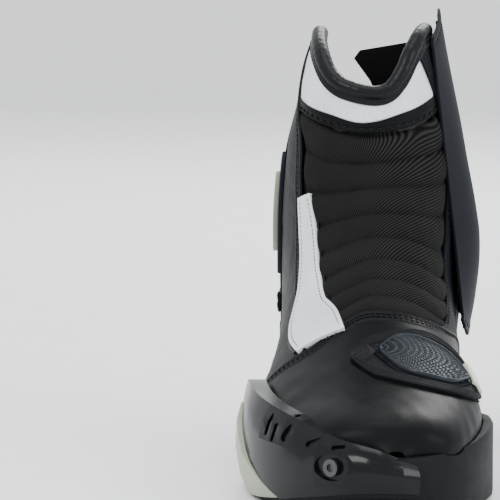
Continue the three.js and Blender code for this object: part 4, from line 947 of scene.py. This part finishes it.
def heelParts():
    shellTop = Line([[at, value - 0.3] for at, value in zip(heelEdge.at, heelEdge.value)])
    shell = panelPatch(innerHeelSeam, outerHeelSeam, 61, shellTop, 0.8, (0.2,) * 4)
    middle = (shell.left - shell.right) / 2
    embossed = 0.6 * (1 - smooth(np.abs(middle), 9 + shell.bottom * 0.12, 10 + shell.bottom * 0.12))
    embossed = embossed * smooth(shell.bottom, 5, 6) * smooth(shell.top, 5, 6)
    relief = embossed + groove(np.abs(middle), 0, 0.7) * 0.9 - 0.5 * (1 - smooth(shell.edge(), 0, 1.5))
    panelPiece("heel_shell_plastic", shell, "heel_shell", "shell", (2.6, 3.9), relief, 0.4)

    low = Line([[118, 61.5], [140, 63.3], [163, 64.4]])
    high = Line([[118, 69], [134, 73], [163, 75]])
    plate = panelPatch(118, 163, low, high, 0.35, (0.2,) * 4)
    holes = [(66, 128), (66, 144), (69.5, 128), (69.5, 144), (72.5, 138), (72.5, 153), (67.5, 136), (71, 133),
             (68, 152), (71, 147), (64.6, 136), (66, 156)]
    relief = pressedHoles(plate, holes, 1.5, 2.1) - 0.8 * (1 - smooth(plate.edge(), 0, 1.6))
    panelPiece("heel_plate_inner_gloss", plate, "heel_plate_inner", "gloss", heelWall, relief, 0)

    plate = panelPatch(167, 193, 64.5, 72, 0.35, (0.2,) * 4)
    holes = [(a, b) for a in (65.6, 67.8, 70.0) for b in (174, 180, 186)]
    relief = pressedHoles(plate, holes, 1.3, 1.1) - 0.6 * (1 - smooth(plate.edge(), 0, 1.3))
    panelPiece("heel_plate_centre_plastic", plate, "heel_plate_centre", "shell", overlayWall, relief, 0.4)

    low = Line([[197, 64.4], [222, 63.3], [240, 61.6], [258, 60.5]])
    high = Line([[197, 74.8], [220, 73.6], [240, 70.3], [258, 65.2]])
    plate = panelPatch(197, 258, low, high, 0.35, (0.2,) * 4)
    relief = pressedHoles(plate, [(66, 247), (66, 253), (63.6, 250)], 1.4, 2.0)
    relief = relief - 0.8 * (1 - smooth(plate.edge(), 0, 1.6)) + groove(plate.edge(), 2.4, 0.5) * 0.5
    panelPiece("heel_plate_outer_gloss", plate, "heel_plate_outer", "gloss", heelWall, relief, 0)

    vent = panelPatch(208, 236, 65.5, Line([[208, 72], [236, 69]]), 0.3, (0.2,) * 4)
    relief = pressedSlots(vent, (2.7, 2.4), (1.8, 1.8), 1.9, 0.0, 0.8)
    panelPiece("heel_vent_grille", vent, "heel_vent", "blue", (5.0, 8.5), relief, 0)


trims()
badge()
heelBand()
shiftPad()
heelParts()
print("trims and plates done")

# ---- closure: zip, flap and gusset

closure = {"standoff": 6.55, "thickness": 1.5, "stitchInset": 4.2, "coilPitch": 1.5}
hinge = {"foot": 64, "rise": 141}
hingeJoint = next(joint for joint in frame["joints"] if joint["name"] == "flap_hinge")
hingeHead = np.array(hingeJoint["pos_m"]) / mm / scale
hingeWay = np.array(hingeJoint["axis"]) / mm / scale
hingeFoot = hingeHead + hingeWay * (hinge["foot"] - hingeHead[2]) / hingeWay[2]
endX, bottomX, topX = zip_["end"][0], zip_["bottom"][0], zip_["top"][0]
over = closure["standoff"]
flapFaceX = Line([[62, endX + 2.5], [76, endX + 5], [95, bottomX + over + 0.6], [115, bottomX + over],
                  [203, topX + over], [222, topX + over - 3.6]])
freeEdgeY = Line([[60, 2], [68, 14], [78, 22], [95, 28], [150, 30], [205, 27], [222, 22]])
flapFootZ = Line([[0, 64], [0.4, 59], [0.75, 61], [0.92, 66], [1, 74]])
flapHeadZ = Line([[0, 207], [0.35, 216], [0.6, 220], [0.85, 216], [1, 209]])


def zipRows():
    for side, node in ((-1, "zip_teeth_front"), (1, "zip_teeth_rear")):
        low, high = (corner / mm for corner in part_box(node))
        turns = np.arange(low.z + 1, high.z - 1, closure["coilPitch"])
        knees, kneeX = zip(*[(z, x) for x, z in (zip_["end"], zip_["bottom"], zip_["top"])])
        face = np.interp(turns / scale[2], knees, kneeX) * scale[0]
        middle = (low.y + high.y) / 2
        places = np.stack([face + 1.15, turns * 0 + middle, turns + 0.35 * side], -1)
        ways = np.tile([0, 1.0, 0], (len(turns), 1))
        outs = np.tile([1.0, 0, 0], (len(turns), 1))
        coil = capsules("zip_coil_" + node[4:], places, ways, outs, high.y - low.y + 0.2, 1.15, 1.5, "coil")
        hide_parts(node)


def flapPlace(u, v, d):
    z = flapFootZ(u) + (flapHeadZ(u) - flapFootZ(u)) * v
    rise = (z - hinge["foot"]) / hinge["rise"]
    axis = hingeFoot + (hingeHead - hingeFoot) * rise[..., None]
    y = axis[..., 1] + 0.3 + (freeEdgeY(z) - axis[..., 1] - 0.3) * u
    t = np.clip((y - axis[..., 1]) / (-1 - axis[..., 1]), 0, 1)
    x = axis[..., 0] + (flapFaceX(z) - axis[..., 0]) * np.sin(t * math.pi / 2)
    x = x - 1.2 * (np.maximum(0, y - 9) / 22) ** 2 + d
    return np.stack([x, y, z], -1) * scale


def flapSheet(name, u, v, d, relief, node, finish, thickness, cell=0.9):
    us, vs = np.meshgrid(np.linspace(*u, int(62 * (u[1] - u[0]) / cell) + 3),
                         np.linspace(*v, int(155 * (v[1] - v[0]) / cell) + 3), indexing="ij")
    points = flapPlace(us, vs, d)
    outward = unit(np.cross(np.gradient(points, axis=0), np.gradient(points, axis=1)))
    step = np.linalg.norm(np.diff(points, axis=0), axis=-1)
    rise = np.linalg.norm(np.diff(points, axis=1), axis=-1)
    left = np.concatenate([step[:1] * 0, np.cumsum(step, 0)])
    bottom = np.concatenate([rise[:, :1] * 0, np.cumsum(rise, 1)], 1)
    right, top = left[-1:] - left, bottom[:, -1:] - bottom
    points = points + outward * relief(left, right, bottom, top, points)[..., None]
    mesh = sheetMesh(name, points, outward, np.stack([left, bottom], -1))
    piece = finished(name, mesh, node, finish, "flap", 0)
    solid(piece, thickness, 0.35)
    return points, outward, (left, right, bottom, top)


def flap():
    def face(left, right, bottom, top, points):
        edge = np.minimum.reduce([right, bottom, top])
        bead = 0.35 * (1 - smooth(edge, 1.6, 2.6)) + groove(edge, closure["stitchInset"], 0.8) * 0.4
        return bead + ripple(points, 46, 31) * 0.3 * smooth(edge, 4, 14) * smooth(left, 2, 12)

    thickness = closure["thickness"]
    points, outward, gaps = flapSheet("flap_leather", (0, 1), (0, 1), thickness, face, "closure_flap", "flap",
                                      thickness)
    left, right, bottom, top = gaps
    # stitches run along the foot, the free edge and the head
    inset = closure["stitchInset"]
    column = int(np.argmin(np.abs(right[:, right.shape[1] // 2] - inset)))
    low, high = int(np.argmin(np.abs(bottom[column] - inset))), int(np.argmin(np.abs(top[column] - inset)))
    route = [(i, int(np.argmin(np.abs(bottom[i] - inset)))) for i in range(4, column)]
    route += [(column, j) for j in range(low, high)]
    route += [(i, int(np.argmin(np.abs(top[i] - inset)))) for i in range(column, 4, -1)]
    line = np.array([points[i, j] for i, j in route])
    outs = np.array([outward[i, j] for i, j in route])
    at, length = evenly(line, 2.9)
    spots = np.stack([np.interp(at, length, line[:, k]) for k in range(3)], -1)
    ends = [np.stack([np.interp(at + s, length, line[:, k]) for k in range(3)], -1) for s in (0.8, -0.8)]
    outs = unit(np.stack([np.interp(at, length, outs[:, k]) for k in range(3)], -1))
    ways = unit(ends[0] - ends[1])
    ways = unit(ways - outs * (ways * outs).sum(-1, keepdims=True))
    capsules("flap_stitches", spots + outs * 0.12, ways, outs, 2.25, 0.75, 0.6, "thread", "flap")

    span = float(freeEdgeY(150.0)) + 29

    def fuzz(left, right, bottom, top, points):
        rng = np.random.default_rng(4)
        return rng.uniform(-0.25, 0.25, left.shape)

    across = (0.97 - 13 / span, 0.97)
    flapSheet("flap_hook_pile", across, (0.2, 0.97), -0.35, fuzz, "flap_hook_tape", "hook", 1.1, 0.5)


def copied(node, name, finish, rounding, angle=32, body="boot", corner=None):
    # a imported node's own shape, welded, with its edges eased
    bm = bmesh.new()
    bm.from_mesh(nodes[node].data)
    bmesh.ops.remove_doubles(bm, verts=bm.verts[:], dist=0.02 * mm)
    bmesh.ops.dissolve_limit(bm, angle_limit=math.radians(1.2), verts=bm.verts[:], edges=bm.edges[:])
    mesh = bpy.data.meshes.new(name)
    bm.to_mesh(mesh)
    bm.free()
    piece = finished(name, mesh, node, finish, body, angle)
    if rounding:
        edge = piece.modifiers.new("edge", "BEVEL")
        edge.width = rounding * mm
        edge.segments = 3
        edge.limit_method = "ANGLE"
        edge.angle_limit = math.radians(corner or angle)
        edge.use_clamp_overlap = True
    return piece


zipRows()
flap()
for node, name, finish, rounding, body in (
        ("zip_slider", "zip_slider_steel", "blackSteel", 0.25, "slider"),
        ("zip_pull", "zip_pull_steel", "blackSteel", 0.25, "pull"),
        ("zip_bottom_stop", "zip_bottom_stop_steel", "blackSteel", 0.2, "boot"),
        ("zip_top_stop", "zip_top_stop_steel", "blackSteel", 0.2, "boot"),
        ("zip_gusset", "zip_gusset_cloth", "textile", 0.3, "boot")):
    copied(node, name, finish, rounding, body=body)
print("closure done")

# ---- sole, toe slider and insert

copied("outsole", "outsole_rubber", "rubber", 0.7, 48)
slider = copied("toe_slider", "toe_slider_plastic", "gloss", 0.5, 24, corner=30)
copied("sole_insert", "sole_insert_plastic", "pale", 0.8, 30)
copied("slider_screw", "slider_screw_steel", "blackSteel", 0.3, 30)


def cutOpenings(piece, openings, depth):
    # each opening: x, z, half length, half height and lean in degrees, cut along the surface's normal
    surface = BVHTree.FromPolygons([vert.co for vert in piece.data.vertices],
                                   [list(face.vertices) for face in piece.data.polygons])
    cut = bmesh.new()
    for x, z, length, height, lean in openings:
        place, normal, _, _ = surface.ray_cast(Vector((x * mm, -0.4, z * mm)), Vector((0, 1, 0)))
        if place is None:
            print("no surface at", x, z)
            continue
        turn = normal.to_track_quat("Z", "Y").to_matrix().to_4x4()
        turn = turn @ Matrix.Rotation(math.radians(lean), 4, "Z")
        size = Matrix.Diagonal((length * 2 * mm, height * 2 * mm, depth * 2 * mm, 1))
        made = bmesh.ops.create_cube(cut, size=1, matrix=Matrix.Translation(place) @ turn @ size)
        upright = [edge for edge in {edge for vert in made["verts"] for edge in vert.link_edges}
                   if abs((edge.verts[0].co - edge.verts[1].co).normalized().dot(normal)) > 0.9]
        bmesh.ops.bevel(cut, geom=upright, offset=height * 0.8 * mm, affect="EDGES", segments=3, profile=0.5,
                        material=-1)
    mesh = bpy.data.meshes.new("cutters")
    cut.to_mesh(mesh)
    cut.free()
    cutter = bpy.data.objects.new("cutters", mesh)
    bpy.context.scene.collection.objects.link(cutter)
    hole = piece.modifiers.new("openings", "BOOLEAN")
    hole.operation = "DIFFERENCE"
    hole.solver = "EXACT"
    hole.object = cutter
    ease = piece.modifiers["edge"]
    ease.show_viewport = False
    result = bpy.data.meshes.new_from_object(piece.evaluated_get(bpy.context.evaluated_depsgraph_get()))
    ease.show_viewport = True
    piece.modifiers.remove(hole)
    bpy.data.objects.remove(cutter)
    piece.data = result
    result.shade_smooth()
    result.set_sharp_from_angle(angle=math.radians(24))
    print("openings cut in", piece.name, len(result.polygons))


sliderOpenings = [(-46.5, 39, 5.5, 1.5, 80), (-44, 36, 4.5, 1.3, 80), (-38, 37, 4.5, 2.2, 60),
                  (-26, 35, 4.2, 1.3, 25), (-14.5, 34, 3.4, 1.2, 10), (-33, 44, 2.4, 0.8, 30),
                  (-22, 41.5, 2.4, 0.8, 20)]
cutOpenings(slider, sliderOpenings, 1.4)
print("sole and slider done")

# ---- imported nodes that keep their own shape

kept = {
    "insole_board": "board", "shank": "steel", "toe_puff": "board", "instep_padding": "foam",
    "ankle_pad_inner": "foam", "ankle_pad_outer": "foam", "heel_stiffener": "board",
    "collar_padding_front": "foam", "collar_padding_rear": "foam", "threaded_insert": "steel",
    "zip_tape_front": "tape", "zip_tape_rear": "tape", "size_label": "label",
}
for node, finish in kept.items():
    nodes[node].data.materials.clear()
    nodes[node].data.materials.append(finishes[finish])

# ---- floor and the end

bpy.ops.mesh.primitive_plane_add(size=6, location=(0, 0, 0))
floor = bpy.context.object
floor.name = "studio_floor"
floor.data.materials.append(finishes["floor"])
